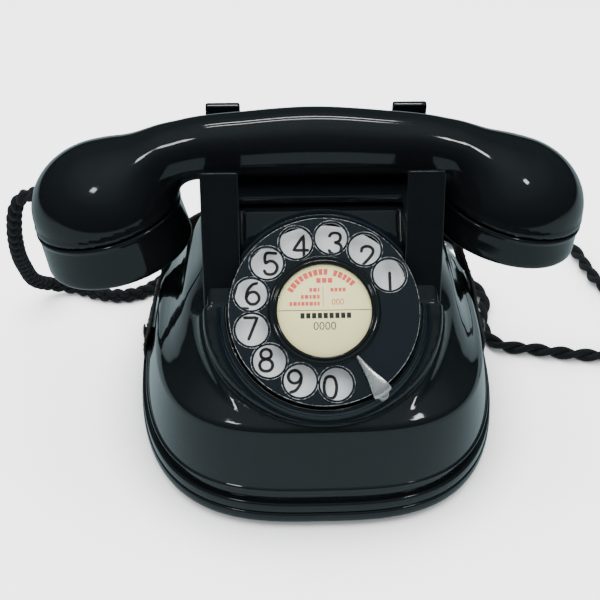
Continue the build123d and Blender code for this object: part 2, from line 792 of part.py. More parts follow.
# ------------------------------------------------------------------ ringer
GONG_X, GONG_Y, GONG_R = 31.6, 40.0, 25.8
GONG_RIM_Z = 18.0
GONG_T = 1.2
GONG_BORE_R = 2.7
COIL_Z = 17.0            # coil axes
PIVOT_Y = 23             # clapper pivot
PIVOT_R = 1.2
BALL_Z, BALL_R = 19.6, 4.4

for side, name in ((-1, "gong_left"), (1, "gong_right")):
    with BuildPart() as gong:
        with BuildSketch(
            Plane(origin=(side * GONG_X, GONG_Y, 0), x_dir=(1, 0, 0), z_dir=(0, -1, 0))
        ):
            with BuildLine():
                Spline(
                    (GONG_R, GONG_RIM_Z), (GONG_R - 1.3, 25.0),
                    (GONG_R - 8.5, 29.8), (GONG_BORE_R, 31.0),
                )
                Line((GONG_BORE_R, 31.0), (GONG_BORE_R, 29.8))
                Spline(
                    (GONG_BORE_R, 29.8), (GONG_R - 9.4, 28.6),
                    (GONG_R - 2.5, 24.3), (GONG_R - GONG_T, GONG_RIM_Z),
                )
                Line((GONG_R - GONG_T, GONG_RIM_Z), (GONG_R, GONG_RIM_Z))
            make_face()
        revolve(axis=Axis((side * GONG_X, GONG_Y, 0), (0, 0, 1)))
    save(gong, name)

with BuildPart() as gong_posts:
    # post, neck through the gong, and head: start z, radius, length
    for x in (-GONG_X, GONG_X):
        for z, radius, length in (
            (FLOOR_Z + SHEET, 3.6, 22.9), (29.0, 2.6, 4.0), (31.6, 4.4, 2.4),
        ):
            with BuildSketch(at_z(z)):
                with Locations((x, GONG_Y)):
                    Circle(radius)
            extrude(amount=length)
save(gong_posts, "gong_posts")

with BuildPart() as ringer_frame:
    with BuildSketch(at_z(FLOOR_Z)):
        with Locations((0, 22)):
            Rectangle(30, 66)
        with Locations((-GONG_X, GONG_Y), (GONG_X, GONG_Y)):
            Circle(6.0)
        with Locations((0, GONG_Y)):
            Rectangle(2 * GONG_X, 8)
    extrude(amount=SHEET)
    # upright yoke in front of the coils, and the foot it stands on
    with BuildSketch(at_z(FLOOR_Z + 1.5)):
        with Locations((0, -18.4)):
            Rectangle(44, 2.4)
    extrude(amount=20.0)
    with BuildSketch(at_z(FLOOR_Z)):
        with Locations((0, -14)):
            Rectangle(44, 11)
    extrude(amount=SHEET)
    # pivot block and pin for the clapper
    with BuildSketch(at_z(FLOOR_Z + 1.5)):
        with Locations((0, PIVOT_Y)):
            Rectangle(6.0, 5.0)
    extrude(amount=5.6)
    with BuildSketch(at_z(FOOT_H + 8.0)):
        with Locations((0, PIVOT_Y)):
            Circle(PIVOT_R)
    extrude(amount=9.0)
save(ringer_frame, "ringer_frame")

with BuildPart() as ringer_coils:
    # core, winding, front cheek, rear cheek: front y, radius, length
    for x in (-11.5, 11.5):
        for y, radius, length in (
            (-17.1, 3.0, 35.6), (-15.8, 9.0, 30.0), (-17.1, 10.4, 1.4), (14.0, 10.4, 1.4),
        ):
            with BuildSketch(at_y(y)):
                with Locations((x, COIL_Z)):
                    Circle(radius)
            extrude(amount=-length)
save(ringer_coils, "ringer_coils")

with BuildPart() as clapper:
    # armature
    with BuildSketch(at_z(12.2)):
        with Locations((0, PIVOT_Y)):
            Rectangle(34, 4.0)
            Circle(2.8)
            Circle(PIVOT_R + RUN, mode=Mode.SUBTRACT)
    extrude(amount=5.2)
    # rod running back to the ball
    with BuildSketch(at_y(24.6)):
        with Locations((0, 16.3)):
            Circle(0.9)
    extrude(amount=-14.0)
    # ball between the gongs
    with BuildSketch(Plane.YZ):
        with BuildLine():
            ball_foot, ball_top = (GONG_Y, BALL_Z - BALL_R), (GONG_Y, BALL_Z + BALL_R)
            Line(ball_foot, ball_top)
            ThreePointArc(ball_top, (GONG_Y + BALL_R, BALL_Z), ball_foot)
        make_face()
    revolve(axis=Axis((0, GONG_Y, BALL_Z), (0, 0, 1)))
save(clapper, "clapper")

# ------------------------------------------------------------------ circuit parts on the base
BLOCK_SPOT = (-48, -12)
TERMINAL_GRID = (11, 9, 2, 5)    # x pitch, y pitch, columns, rows
COIL_Y = -44                     # induction coil

with BuildPart() as capacitor:
    with BuildSketch(at_z(FLOOR_Z)):
        with Locations((48, -12)):
            RectangleRounded(24, 44, 2.5)
    extrude(amount=15.5)
save(capacitor, "capacitor")

with BuildPart() as induction_coil:
    with BuildSketch(at_x(-26)):
        with Locations((COIL_Y, 15.4)):
            Circle(8.4)
    extrude(amount=52)
    # square end cheeks
    for x in (-28, 25.6):
        with BuildSketch(at_x(x)):
            with Locations((COIL_Y, 14.8)):
                Rectangle(20, 20)
        extrude(amount=2.4)
save(induction_coil, "induction_coil")

with BuildPart() as terminal_block:
    with BuildSketch(at_z(FLOOR_Z)):
        with Locations(BLOCK_SPOT):
            RectangleRounded(22, 48, 2)
    extrude(amount=9.0)
    with BuildSketch(at_z(FOOT_H + 8.0)):
        with GridLocations(*TERMINAL_GRID):
            with Locations(BLOCK_SPOT):
                Circle(1.45)
    extrude(amount=4.0, mode=Mode.SUBTRACT)
save(terminal_block, "terminal_block")

with BuildPart() as terminal_screws:
    # heads, then shanks: start z, radius, length
    for z, radius, length in ((FOOT_H + 10.9, 2.9, 1.8), (FOOT_H + 8.2, 1.4, 3.0)):
        with BuildSketch(at_z(z)):
            with GridLocations(*TERMINAL_GRID):
                with Locations(BLOCK_SPOT):
                    Circle(radius)
        extrude(amount=length)
save(terminal_screws, "terminal_screws")

# ------------------------------------------------------------------ carrying strap
BAND_OUTER_OVAL = (69.6, -71.5, 54.0, -5.0, 3.9, 3.1)
BAND_INNER_OVAL = (67.0, -71.5, 51.4, -5.0, 3.9, 3.1)

# outline of a side leg: distance from the middle plane, z
LEG_PROFILE = [
    (81.0, 14.2), (81.0, 23.0), (75.6, 46.0), (74.4, 56.5), (71.2, 62.6), (67.0, 66.4),
    (67.0, 70.0), (69.2, 70.0), (73.4, 65.6), (77.0, 58.0), (78.0, 46.6), (83.4, 23.5),
    (83.4, 14.2),
]
SLOT_R = 2.4
SLOT_LOW = STUD_Z - STRAP_TRAVEL
SLOT_FRONT, SLOT_REAR = STRAP_Y - SLOT_R, STRAP_Y + SLOT_R

with BuildPart() as carry_strap:
    # band round the back of the neck, cut off in front of the legs
    with BuildSketch(at_z(62.6)):
        with BuildLine():
            draw_oval(*BAND_OUTER_OVAL)
        make_face()
        with BuildLine():
            draw_oval(*BAND_INNER_OVAL)
        make_face(mode=Mode.SUBTRACT)
        with Locations((0, -100 + STRAP_Y - STRAP_W / 2)):
            Rectangle(300, 200, mode=Mode.SUBTRACT)
    extrude(amount=12.0)
    # side legs
    for side in (1, -1):
        with BuildSketch(at_y(STRAP_Y + STRAP_W / 2)):
            with BuildLine():
                Polyline(*[(side * out, z) for out, z in LEG_PROFILE], close=True)
            make_face()
        extrude(amount=STRAP_W)
    # slots for the studs
    with BuildSketch(at_x(-100)):
        with BuildLine():
            Line((SLOT_FRONT, SLOT_LOW), (SLOT_FRONT, STUD_Z))
            ThreePointArc((SLOT_FRONT, STUD_Z), (STRAP_Y, STUD_Z + SLOT_R), (SLOT_REAR, STUD_Z))
            Line((SLOT_REAR, STUD_Z), (SLOT_REAR, SLOT_LOW))
            ThreePointArc(
                (SLOT_REAR, SLOT_LOW), (STRAP_Y, SLOT_LOW - SLOT_R), (SLOT_FRONT, SLOT_LOW)
            )
        make_face()
    extrude(amount=200, mode=Mode.SUBTRACT)
save(carry_strap, "carry_strap")

STUD_IN = 71.0           # inner end of the studs, from the middle plane

with BuildPart() as strap_studs:
    # shank, tapered head outside the strap, hexagon inside the case
    for side in (1, -1):
        with BuildSketch(at_x(side * STUD_IN)):
            with Locations((STRAP_Y, STUD_Z)):
                Circle(2.2)
        extrude(amount=side * 12.9)
        with BuildSketch(at_x(side * 83.7)):
            with Locations((STRAP_Y, STUD_Z)):
                Circle(3.7)
        extrude(amount=side * 1.1, taper=20)
        with BuildSketch(at_x(side * STUD_IN)):
            with Locations((STRAP_Y, STUD_Z)):
                RegularPolygon(4.2, 6)
        extrude(amount=side * 1.7)
save(strap_studs, "strap_studs")

# ------------------------------------------------------------------ cords
HANDSET_CORD_R, LINE_CORD_R = 3.5, 2.9

# centre lines: x, y, z
# from the mouthpiece down to the left-hand outlet
HANDSET_PATH = [
    (-123.1, 4.3, 106.5), (-128.5, 7, 104), (-133.5, 11, 96), (-137.5, 18, 82),
    (-141, 30, 62), (-143.5, 48, 40), (-143, 66, 19), (-137, 80, 7), (-126, 81, 4),
    (-112, 75, 3.8), (-100, 73, 3.8), (-90, 76, 3.8), (-80, 86, 3.8), (-66, 99, 4),
    (-50, 106, 7), (-39, 104, 12.5), (-34.4, 97, 14.8), (-34, 90, 15), (-34, 82.5, 15),
]
# from the right-hand outlet, looping over the table to the free end
LINE_PATH = [
    (34, 82.5, 15), (34, 90, 15), (34.4, 97, 14.8), (38.5, 103, 11.8), (50, 105, 6.5),
    (68, 101, 3.2), (84, 88, 3.2), (93, 66, 3.2), (88.5, 42, 3.2), (91, 29, 3.2),
    (98, 23, 3.2), (107, 21.7, 3.2), (122, 17.9, 3.2), (144, 14.8, 3.2), (163, 18, 3.2),
    (175, 36, 3.2), (170, 62, 3.2), (160, 77, 3.2), (156, 95.7, 3.2), (152.5, 114.5, 3.2),
    (141, 128, 3.2), (120, 134, 3.2), (102, 131, 3.2),
]

for name, path, radius in (
    ("handset_cord", HANDSET_PATH, HANDSET_CORD_R),
    ("line_cord", LINE_PATH, LINE_CORD_R),
):
    with BuildPart() as cord:
        with BuildLine() as centre_line:
            Spline(*path)
        with BuildSketch(Plane(origin=centre_line.line @ 0, z_dir=centre_line.line % 0)):
            Circle(radius)
        sweep()
    save(cord, name)

with BuildPart() as cord_grommets:
    for x, cord_r in ((-OUTLET_X, HANDSET_CORD_R), (OUTLET_X, LINE_CORD_R)):
        with BuildSketch(at_y(80.5)):
            with Locations((x, OUTLET_Z)):
                Circle(5.9)
                Circle(cord_r + 0.6, mode=Mode.SUBTRACT)
        extrude(amount=-7.5)
save(cord_grommets, "cord_grommets")

TAG_Y = 130.6            # middle tag
TAG_PITCH = 8

with BuildPart() as line_terminals:
    # three tags with round holes, on short cores at the free end of the line cord
    for shift in (-TAG_PITCH, 0, TAG_PITCH):
        # barrel
        with BuildSketch(at_x(92.0)):
            with Locations((TAG_Y + shift, 2.0)):
                Circle(1.3)
        extrude(amount=-6.0)
        # flat tag
        with BuildSketch(at_z(1.6)):
            with Locations((81.5, TAG_Y + shift)):
                SlotOverall(10.0, 6.0)
            with Locations((79.5, TAG_Y + shift)):
                Circle(1.7, mode=Mode.SUBTRACT)
        extrude(amount=0.8)
        # core, drawing in towards the cord's end
        with BuildLine() as core:
            Spline(
                (91.5, TAG_Y + shift, 2.0),
                (96.0, 130.7 + shift * 0.6, 2.6),
                (100.4, 130.9 + shift * 0.16, 3.1),
            )
        with BuildSketch(Plane(origin=core.line @ 0, z_dir=core.line % 0)):
            Circle(0.8)
        sweep(path=core.line)
save(line_terminals, "line_terminals")
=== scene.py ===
# A desk telephone with a dial, a cradle and handset, a carrying strap and two cords.
# It stands on z = 0 with its front towards -y and its left side at -x. Shapes are worked
# out in millimetres and scaled to metres as meshes are made. The dial lies in its own
# tilted plane, with axes x (right), u (up the face) and s (out of the face).
import json
import math
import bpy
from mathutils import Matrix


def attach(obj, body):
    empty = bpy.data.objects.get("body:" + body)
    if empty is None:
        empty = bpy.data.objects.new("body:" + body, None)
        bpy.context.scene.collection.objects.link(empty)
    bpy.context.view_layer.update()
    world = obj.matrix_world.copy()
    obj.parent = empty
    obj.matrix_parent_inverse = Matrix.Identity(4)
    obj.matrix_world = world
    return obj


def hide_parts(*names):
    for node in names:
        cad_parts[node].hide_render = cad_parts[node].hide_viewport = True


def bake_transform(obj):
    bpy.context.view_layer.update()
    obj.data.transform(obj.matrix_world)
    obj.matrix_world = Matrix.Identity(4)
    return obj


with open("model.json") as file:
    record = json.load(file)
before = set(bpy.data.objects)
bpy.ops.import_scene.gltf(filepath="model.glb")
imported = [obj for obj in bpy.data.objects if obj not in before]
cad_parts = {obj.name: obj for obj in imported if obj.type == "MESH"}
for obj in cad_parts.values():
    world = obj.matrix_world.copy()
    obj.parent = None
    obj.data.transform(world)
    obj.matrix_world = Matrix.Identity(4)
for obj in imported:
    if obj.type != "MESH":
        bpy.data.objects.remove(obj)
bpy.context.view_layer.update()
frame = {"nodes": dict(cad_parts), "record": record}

from types import SimpleNamespace

import bmesh
import bpy
import numpy as np
from mathutils import Matrix, Vector

MM = 0.001
NET_STEP = 1.15  # grid step of the implicit surfaces

# ----------------------------------------------------------------- shared sizes, mm
TILT = math.radians(47.6)
DIAL_OUT = np.array([0.0, -math.cos(TILT), math.sin(TILT)])
DIAL_UP = np.array([0.0, math.sin(TILT), math.cos(TILT)])
DIAL_RIGHT = np.array([1.0, 0.0, 0.0])
DIAL_CENTRE = np.array([0.0, -66.8, 92.9])  # centre of the finger wheel's top
DIAL_RISE = 8.0  # height of that point above the drum's face
HANDSET_Y = -10.0
PLUNGER_Y = -8.0


def dial(x, u, s):
    """Point in the dial's axes, s above the drum's face."""
    x, u, s = np.broadcast_arrays(*(np.asarray(q, float) for q in (x, u, s)))
    return (DIAL_CENTRE + x[..., None] * DIAL_RIGHT + u[..., None] * DIAL_UP
            + (s[..., None] - DIAL_RISE) * DIAL_OUT)


# ----------------------------------------------------------------- objects
def link(obj):
    bpy.context.scene.collection.objects.link(obj)
    return obj


def mesh_object(name, verts, faces, normals=None, smooth=True):
    mesh = bpy.data.meshes.new(name)
    mesh.from_pydata((np.asarray(verts, float) * MM).tolist(), [], faces)
    mesh.validate()
    if smooth:
        mesh.polygons.foreach_set("use_smooth", np.ones(len(mesh.polygons), bool))
    if normals is not None:
        mesh.normals_split_custom_set_from_vertices(np.asarray(normals, float).tolist())
    mesh.update()
    return link(bpy.data.objects.new(name, mesh))


def join(name, objs):
    bpy.ops.object.select_all(action="DESELECT")
    for obj in objs:
        obj.select_set(True)
    bpy.context.view_layer.objects.active = objs[0]
    bpy.ops.object.join()
    joined = bpy.context.view_layer.objects.active
    joined.name = name
    joined.data.name = name
    return joined


def to_mesh(obj, name):
    """A curve or text made into a plain mesh, its placement applied."""
    graph = bpy.context.evaluated_depsgraph_get()
    mesh = bpy.data.meshes.new_from_object(obj.evaluated_get(graph))
    world = obj.matrix_world.copy()
    bpy.data.objects.remove(obj)
    new = link(bpy.data.objects.new(name, mesh))
    mesh.transform(world)
    return new


def put(obj, body, mat, slot, *nodes):
    """Gives obj its material (None keeps what it has), its moving body and hides the CAD nodes
    it replaces; slot is not used.
    """
    if mat is not None:
        obj.data.materials.clear()
        obj.data.materials.append(MATERIALS[mat])
    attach(obj, body)
    if nodes:
        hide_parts(*nodes)


def edit(obj, change):
    """Runs change on obj's mesh as a bmesh."""
    bm = bmesh.new()
    bm.from_mesh(obj.data)
    change(bm)
    bm.to_mesh(obj.data)
    bm.free()


def face_outwards(obj):
    edit(obj, lambda bm: bmesh.ops.recalc_face_normals(bm, faces=bm.faces))


def sharpen(obj, angle):
    """Smooth shading, broken at edges steeper than angle in degrees."""
    def mark(bm):
        for edge in bm.edges:
            if len(edge.link_faces) == 2:
                edge.smooth = edge.calc_face_angle(0) < math.radians(angle)

    obj.data.shade_smooth()
    edit(obj, mark)


def basis(origin, *axes):
    """Placement with its origin in mm and its x, y, z along the three axes."""
    matrix = Matrix.Identity(4)
    for column, axis in enumerate(axes):
        axis = np.asarray(axis, float) / np.linalg.norm(axis)
        for row in range(3):
            matrix[row][column] = axis[row]
    for row in range(3):
        matrix[row][3] = origin[row] * MM
    return matrix


def dial_plane(s):
    return basis(dial(0, 0, s), DIAL_RIGHT, DIAL_UP, DIAL_OUT)


# ----------------------------------------------------------------- interpolation and paths
def hermite(stations, values, at):
    """Smooth interpolation of rows of values over their stations."""
    stations = np.asarray(stations, float)
    values = np.asarray(values, float)
    slopes = np.gradient(values, stations, axis=0)
    at = np.clip(at, stations[0], stations[-1])
    i = np.clip(np.searchsorted(stations, at, side="right") - 1, 0, len(stations) - 2)
    h = stations[i + 1] - stations[i]
    t = (at - stations[i]) / h
    t, h = t[..., None], h[..., None]
    return ((2 * t**3 - 3 * t**2 + 1) * values[i]
            + (t**3 - 2 * t**2 + t) * h * slopes[i]
            + (-2 * t**3 + 3 * t**2) * values[i + 1]
            + (t**3 - t**2) * h * slopes[i + 1])


def run_length(points):
    """Distance along a polyline at each of its points."""
    steps = np.linalg.norm(np.diff(points, axis=0), axis=1)
    return np.concatenate([[0], np.cumsum(steps)])


def soften(rows, rounds):
    """Averages each inner row with its neighbours, in place."""
    for _ in range(rounds):
        rows[1:-1] = rows[1:-1] * 0.5 + (rows[:-2] + rows[2:]) * 0.25


def smooth_path(points, step, rounds):
    """Dense, evenly spaced path through points, and the distance along it."""
    points = np.asarray(points, float)
    run = run_length(points)
    path = hermite(run, points, np.linspace(0, run[-1], int(run[-1] / step) + 1))
    soften(path, rounds)
    run = run_length(path)
    along = np.linspace(0, run[-1], int(run[-1] / step) + 1)
    return np.stack([np.interp(along, run, path[:, i]) for i in range(3)], -1), along


def tangents(path):
    t = np.gradient(path, axis=0)
    return t / np.linalg.norm(t, axis=1)[:, None]


def frames(path):
    """The two side axes of rotation-minimising frames along a path."""
    t = tangents(path)
    n = np.zeros_like(path)
    side = np.array([0, 0, 1.0]) if abs(t[0][2]) < 0.9 else np.array([1.0, 0, 0])
    side = side - t[0] * (side @ t[0])
    n[0] = side / np.linalg.norm(side)
    for i in range(1, len(path)):
        side = n[i - 1] - t[i] * (n[i - 1] @ t[i])
        n[i] = side / np.linalg.norm(side)
    return n, np.cross(t, n)


# ----------------------------------------------------------------- mesh builders
def ring_faces(rings, count):
    """Quads between successive closed rings of count points."""
    return [[i * count + s, i * count + (s + 1) % count,
             (i + 1) * count + (s + 1) % count, (i + 1) * count + s]
            for i in range(rings - 1) for s in range(count)]


def revolve(name, profile, origin, axis, seg):
    """Profile of (radius, height) turned about an axis."""
    axis = np.asarray(axis, float) / np.linalg.norm(axis)
    a = np.cross([0, 1.0, 0], axis)
    a /= np.linalg.norm(a)
    b = np.cross(axis, a)
    t = np.linspace(0, 2 * math.pi, seg, endpoint=False)[None, :, None]
    profile = np.asarray(profile, float)
    verts = (np.asarray(origin, float)
             + profile[:, None, 0, None] * (np.cos(t) * a + np.sin(t) * b)
             + profile[:, None, 1, None] * axis).reshape(-1, 3)
    return mesh_object(name, verts, ring_faces(len(profile), seg))


def revolve_on_dial(name, profile, seg):
    return revolve(name, profile, dial(0, 0, 0), DIAL_OUT, seg)


def tube(path, radius, seg, cap=True):
    n, b = frames(path)
    a = np.linspace(0, 2 * math.pi, seg, endpoint=False)[None, :, None]
    verts = path[:, None] + radius * (np.cos(a) * n[:, None] + np.sin(a) * b[:, None])
    faces = ring_faces(len(path), seg)
    if cap:
        faces.append(list(range(seg))[::-1])
        faces.append(list(range((len(path) - 1) * seg, len(path) * seg)))
    return verts.reshape(-1, 3), faces


def merged(name, parts):
    """One mesh from several (verts, faces)."""
    verts, faces = [], []
    for part_verts, part_faces in parts:
        start = len(verts)
        verts += part_verts.tolist()
        faces += [[i + start for i in face] for face in part_faces]
    return mesh_object(name, verts, faces)


def flat(name, loops, depth, bevel, matrix):
    """Plate from closed 2-D loops (later loops are holes), edges rounded, z 0 to depth."""
    curve = bpy.data.curves.new(name, "CURVE")
    curve.dimensions = "2D"
    curve.fill_mode = "BOTH"
    for loop in loops:
        spline = curve.splines.new("POLY")
        spline.points.add(len(loop) - 1)
        for point, (x, y) in zip(spline.points, loop):
            point.co = (x * MM, y * MM, 0, 1)
        spline.use_cyclic_u = True
    curve.extrude = (depth / 2 - bevel) * MM
    curve.bevel_depth = bevel * MM
    curve.bevel_resolution = 3
    curve.offset = -bevel * MM
    obj = link(bpy.data.objects.new(name, curve))
    obj.matrix_world = matrix @ Matrix.Translation((0, 0, depth / 2 * MM))
    obj = to_mesh(obj, name)
    for polygon in obj.data.polygons:
        polygon.use_smooth = True
    return obj


def circle(r, count, x=0.0, y=0.0):
    angles = [2 * math.pi * i / count for i in range(count)]
    return [(x + r * math.cos(t), y + r * math.sin(t)) for t in angles]


# ----------------------------------------------------------------- implicit shapes
# Functions of points (..., 3) in mm, negative inside.
def union(a, b, blend):
    h = np.clip(blend - np.abs(a - b), 0, None) / blend
    return np.minimum(a, b) - h * h * blend * 0.25


def overlap(a, b, blend):
    return -union(-a, -b, blend)


def as_distance(fn):
    """Turns an implicit function into a distance near its surface."""
    step = 0.05

    def distance(p):
        f = fn(p)
        slope = np.sqrt(sum((fn(p + axis) - f) ** 2 for axis in np.eye(3) * step)) / step
        return f / np.clip(slope, 1e-4, None)
    return distance


def distance_and_normal(fn, p):
    step = 0.12
    shifts = np.eye(3) * step
    g = np.stack([(fn(p + d) - fn(p - d)) / (2 * step) for d in shifts], -1)
    n = np.linalg.norm(g, axis=-1)
    return fn(p) / np.clip(n, 0.2, None), g / np.clip(n, 1e-6, None)[..., None]


def surface(fn, low, high, step):
    """Verts, quads and normals of fn = 0 by surface nets, pulled onto the surface."""
    low = np.asarray(low, float)
    size = np.ceil((np.asarray(high, float) - low) / step).astype(int) + 1
    axes = [low[i] + step * np.arange(size[i]) for i in range(3)]
    values = np.empty(size, np.float32)
    for i in range(size[0]):
        slab = np.meshgrid([axes[0][i]], axes[1], axes[2], indexing="ij")
        values[i] = fn(np.stack(slab, -1)[0])
    inside = values < 0

    # cells the surface passes through
    corners = [(a, b, c) for a in (0, 1) for b in (0, 1) for c in (0, 1)]
    filled = np.zeros(size - 1, np.int8)
    for a, b, c in corners:
        filled += inside[a:size[0] - 1 + a, b:size[1] - 1 + b, c:size[2] - 1 + c]
    mixed = (filled > 0) & (filled < 8)
    cells = np.argwhere(mixed)
    index = np.full(size - 1, -1, np.int64)
    index[mixed] = np.arange(len(cells))

    # one vertex per cell, the mean of the crossings on its edges
    total = np.zeros((len(cells), 3))
    count = np.zeros(len(cells))
    for start in corners:
        for axis in range(3):
            if start[axis] == 1:
                continue
            end = list(start)
            end[axis] = 1
            va = values[tuple((cells + start).T)]
            vb = values[tuple((cells + end).T)]
            cross = (va < 0) != (vb < 0)
            t = np.where(cross, va / np.where(cross, va - vb, 1), 0)
            p = cells + np.array(start, float)
            p[:, axis] += t
            total[cross] += p[cross]
            count[cross] += 1
    verts = low + step * total / count[:, None]

    # one quad round each grid edge that is crossed
    faces = []
    for axis, (o1, o2) in enumerate([(1, 2), (2, 0), (0, 1)]):
        near, far = [slice(None)] * 3, [slice(None)] * 3
        near[axis], far[axis] = slice(0, -1), slice(1, None)
        a, b = inside[tuple(near)], inside[tuple(far)]
        e = np.argwhere(a != b)
        e = e[(e[:, o1] > 0) & (e[:, o2] > 0)
              & (e[:, o1] < size[o1] - 1) & (e[:, o2] < size[o2] - 1)]
        keeps_order = a[tuple(e.T)]
        d1, d2 = np.zeros(3, int), np.zeros(3, int)
        d1[o1], d2[o2] = 1, 1
        quads = np.stack([index[tuple(q.T)] for q in (e - d1 - d2, e - d2, e, e - d1)], 1)
        quads[~keeps_order] = quads[~keeps_order][:, ::-1]
        faces.append(quads)
    faces = np.concatenate(faces)
    faces = faces[(faces >= 0).all(1)]

    for _ in range(3):
        f, normals = distance_and_normal(fn, verts)
        verts = verts - np.clip(f, -step, step)[:, None] * normals
    return verts, faces, distance_and_normal(fn, verts)[1]


# ----------------------------------------------------------------- materials
def set_inputs(tree, node, inputs):
    """Sets inputs by value, or links them where the value is a socket."""
    for key, value in inputs.items():
        if isinstance(value, bpy.types.NodeSocket):
            tree.links.new(value, node.inputs[key])
        else:
            node.inputs[key].default_value = value


def add_node(tree, kind, inputs=None, **settings):
    node = tree.nodes.new("ShaderNode" + kind)
    for key, value in settings.items():
        setattr(node, key, value)
    set_inputs(tree, node, inputs or {})
    return node


def new_material(name):
    mat = bpy.data.materials.new(name)
    mat.use_nodes = True
    return mat, mat.node_tree


def add_bump(tree, height, strength, distance):
    bump = add_node(tree, "Bump", {"Strength": strength, "Distance": distance, "Height": height})
    set_inputs(tree, tree.nodes["Principled BSDF"], {"Normal": bump.outputs["Normal"]})


def material(name, base, rough, metal=0.0, spec=0.5, coat=(0.0, 0.05), bump=None,
             bump_detail=3, vary=None, speck=None, speck_range=(0.45, 0.75), sheen=0.0):
    """Principled material broken up by noise; all scales are per metre.

    coat: weight, roughness. bump: scale, strength, distance in metres.
    vary: scale, roughness added and taken away. speck: scale, amount, colour;
    speck_range: the noise values where specks begin and are full.
    """
    mat, tree = new_material(name)
    bsdf = tree.nodes["Principled BSDF"]
    set_inputs(tree, bsdf, {
        "Base Color": (*base, 1), "Roughness": rough, "Metallic": metal,
        "Specular IOR Level": spec, "Coat Weight": coat[0], "Coat Roughness": coat[1]})
    if sheen:
        set_inputs(tree, bsdf, {"Sheen Weight": sheen, "Sheen Roughness": 0.5})
    coords = add_node(tree, "TexCoord").outputs["Object"]

    def noise(scale, detail=4, roughness=0.6):
        return add_node(tree, "TexNoise", {
            "Scale": scale, "Detail": detail, "Roughness": roughness,
            "Vector": coords}).outputs["Fac"]

    if vary:
        spread = add_node(tree, "MapRange", {
            "Value": noise(scale=vary[0]), "From Min": 0.3, "From Max": 0.7,
            "To Min": rough - vary[1], "To Max": rough + vary[1]})
        set_inputs(tree, bsdf, {"Roughness": spread.outputs["Result"]})
    if speck:
        scale, amount, colour = speck
        spread = add_node(tree, "MapRange", {
            "Value": noise(scale, detail=6, roughness=0.7), "From Min": speck_range[0],
            "From Max": speck_range[1], "To Max": amount})
        mix = add_node(tree, "Mix", {
            "A": (*base, 1), "B": (*colour, 1), "Factor": spread.outputs["Result"]},
            data_type="RGBA")
        set_inputs(tree, bsdf, {"Base Color": mix.outputs["Result"]})
    if bump:
        scale, strength, distance = bump
        add_bump(tree, noise(scale, detail=bump_detail), strength, distance)
    return mat


def glass_material():
    """Clear disc: a Fresnel mix of see-through and slightly uneven gloss."""
    mat, tree = new_material("clear_disc")
    out = tree.nodes["Material Output"]
    for node in list(tree.nodes):
        if node != out:
            tree.nodes.remove(node)
    gloss = add_node(tree, "BsdfGlossy", {"Roughness": 0.03})
    clear = add_node(tree, "BsdfTransparent", {"Color": (0.97, 0.97, 0.94, 1)})
    fresnel = add_node(tree, "Fresnel", {"IOR": 1.45})
    mix = add_node(tree, "MixShader", {
        "Fac": fresnel.outputs["Fac"], 1: clear.outputs["BSDF"], 2: gloss.outputs["BSDF"]})
    coords = add_node(tree, "TexCoord")
    noise = add_node(tree, "TexNoise", {"Scale": 900, "Vector": coords.outputs["Object"]})
    spread = add_node(tree, "MapRange", {
        "To Min": 0.01, "To Max": 0.08, "Value": noise.outputs["Fac"]})
    set_inputs(tree, gloss, {"Roughness": spread.outputs["Result"]})
    set_inputs(tree, out, {"Surface": mix.outputs["Shader"]})
    return mat


def cloth_material():
    """Woven cotton braid: two crossed sets of fine waves as bump."""
    mat = material("black_braid", base=(0.0035, 0.0042, 0.0055), rough=0.6, spec=0.3,
                   vary=(500, 0.1), speck=(1500, 0.5, (0.014, 0.016, 0.019)), sheen=0.02)
    tree = mat.node_tree
    coords = add_node(tree, "TexCoord")
    weave = []
    for turn in (0.7, -0.7):
        mapping = add_node(tree, "Mapping", {
            "Rotation": (turn, turn * 0.6, turn), "Vector": coords.outputs["Object"]})
        wave = add_node(tree, "TexWave", {
            "Scale": 520, "Distortion": 1.5, "Vector": mapping.outputs["Vector"]})
        weave.append(wave.outputs["Fac"])
    height = add_node(tree, "Math", dict(enumerate(weave)))
    add_bump(tree, height.outputs["Value"], strength=0.5, distance=0.0003)
    return mat


def leather_material():
    """Dark leather: cell grain plus broad noise as bump."""
    mat = material("dark_leather", base=(0.012, 0.010, 0.009), rough=0.42,
                   vary=(120, 0.1), speck=(260, 0.5, (0.03, 0.022, 0.016)))
    tree = mat.node_tree
    coords = add_node(tree, "TexCoord").outputs["Object"]
    cells = add_node(tree, "TexVoronoi", {"Scale": 1100, "Vector": coords})
    noise = add_node(tree, "TexNoise", {"Scale": 300, "Detail": 6, "Vector": coords})
    height = add_node(tree, "Math", {0: cells.outputs["Distance"], 1: noise.outputs["Fac"]})
    add_bump(tree, height.outputs["Value"], strength=0.35, distance=0.0004)
    return mat


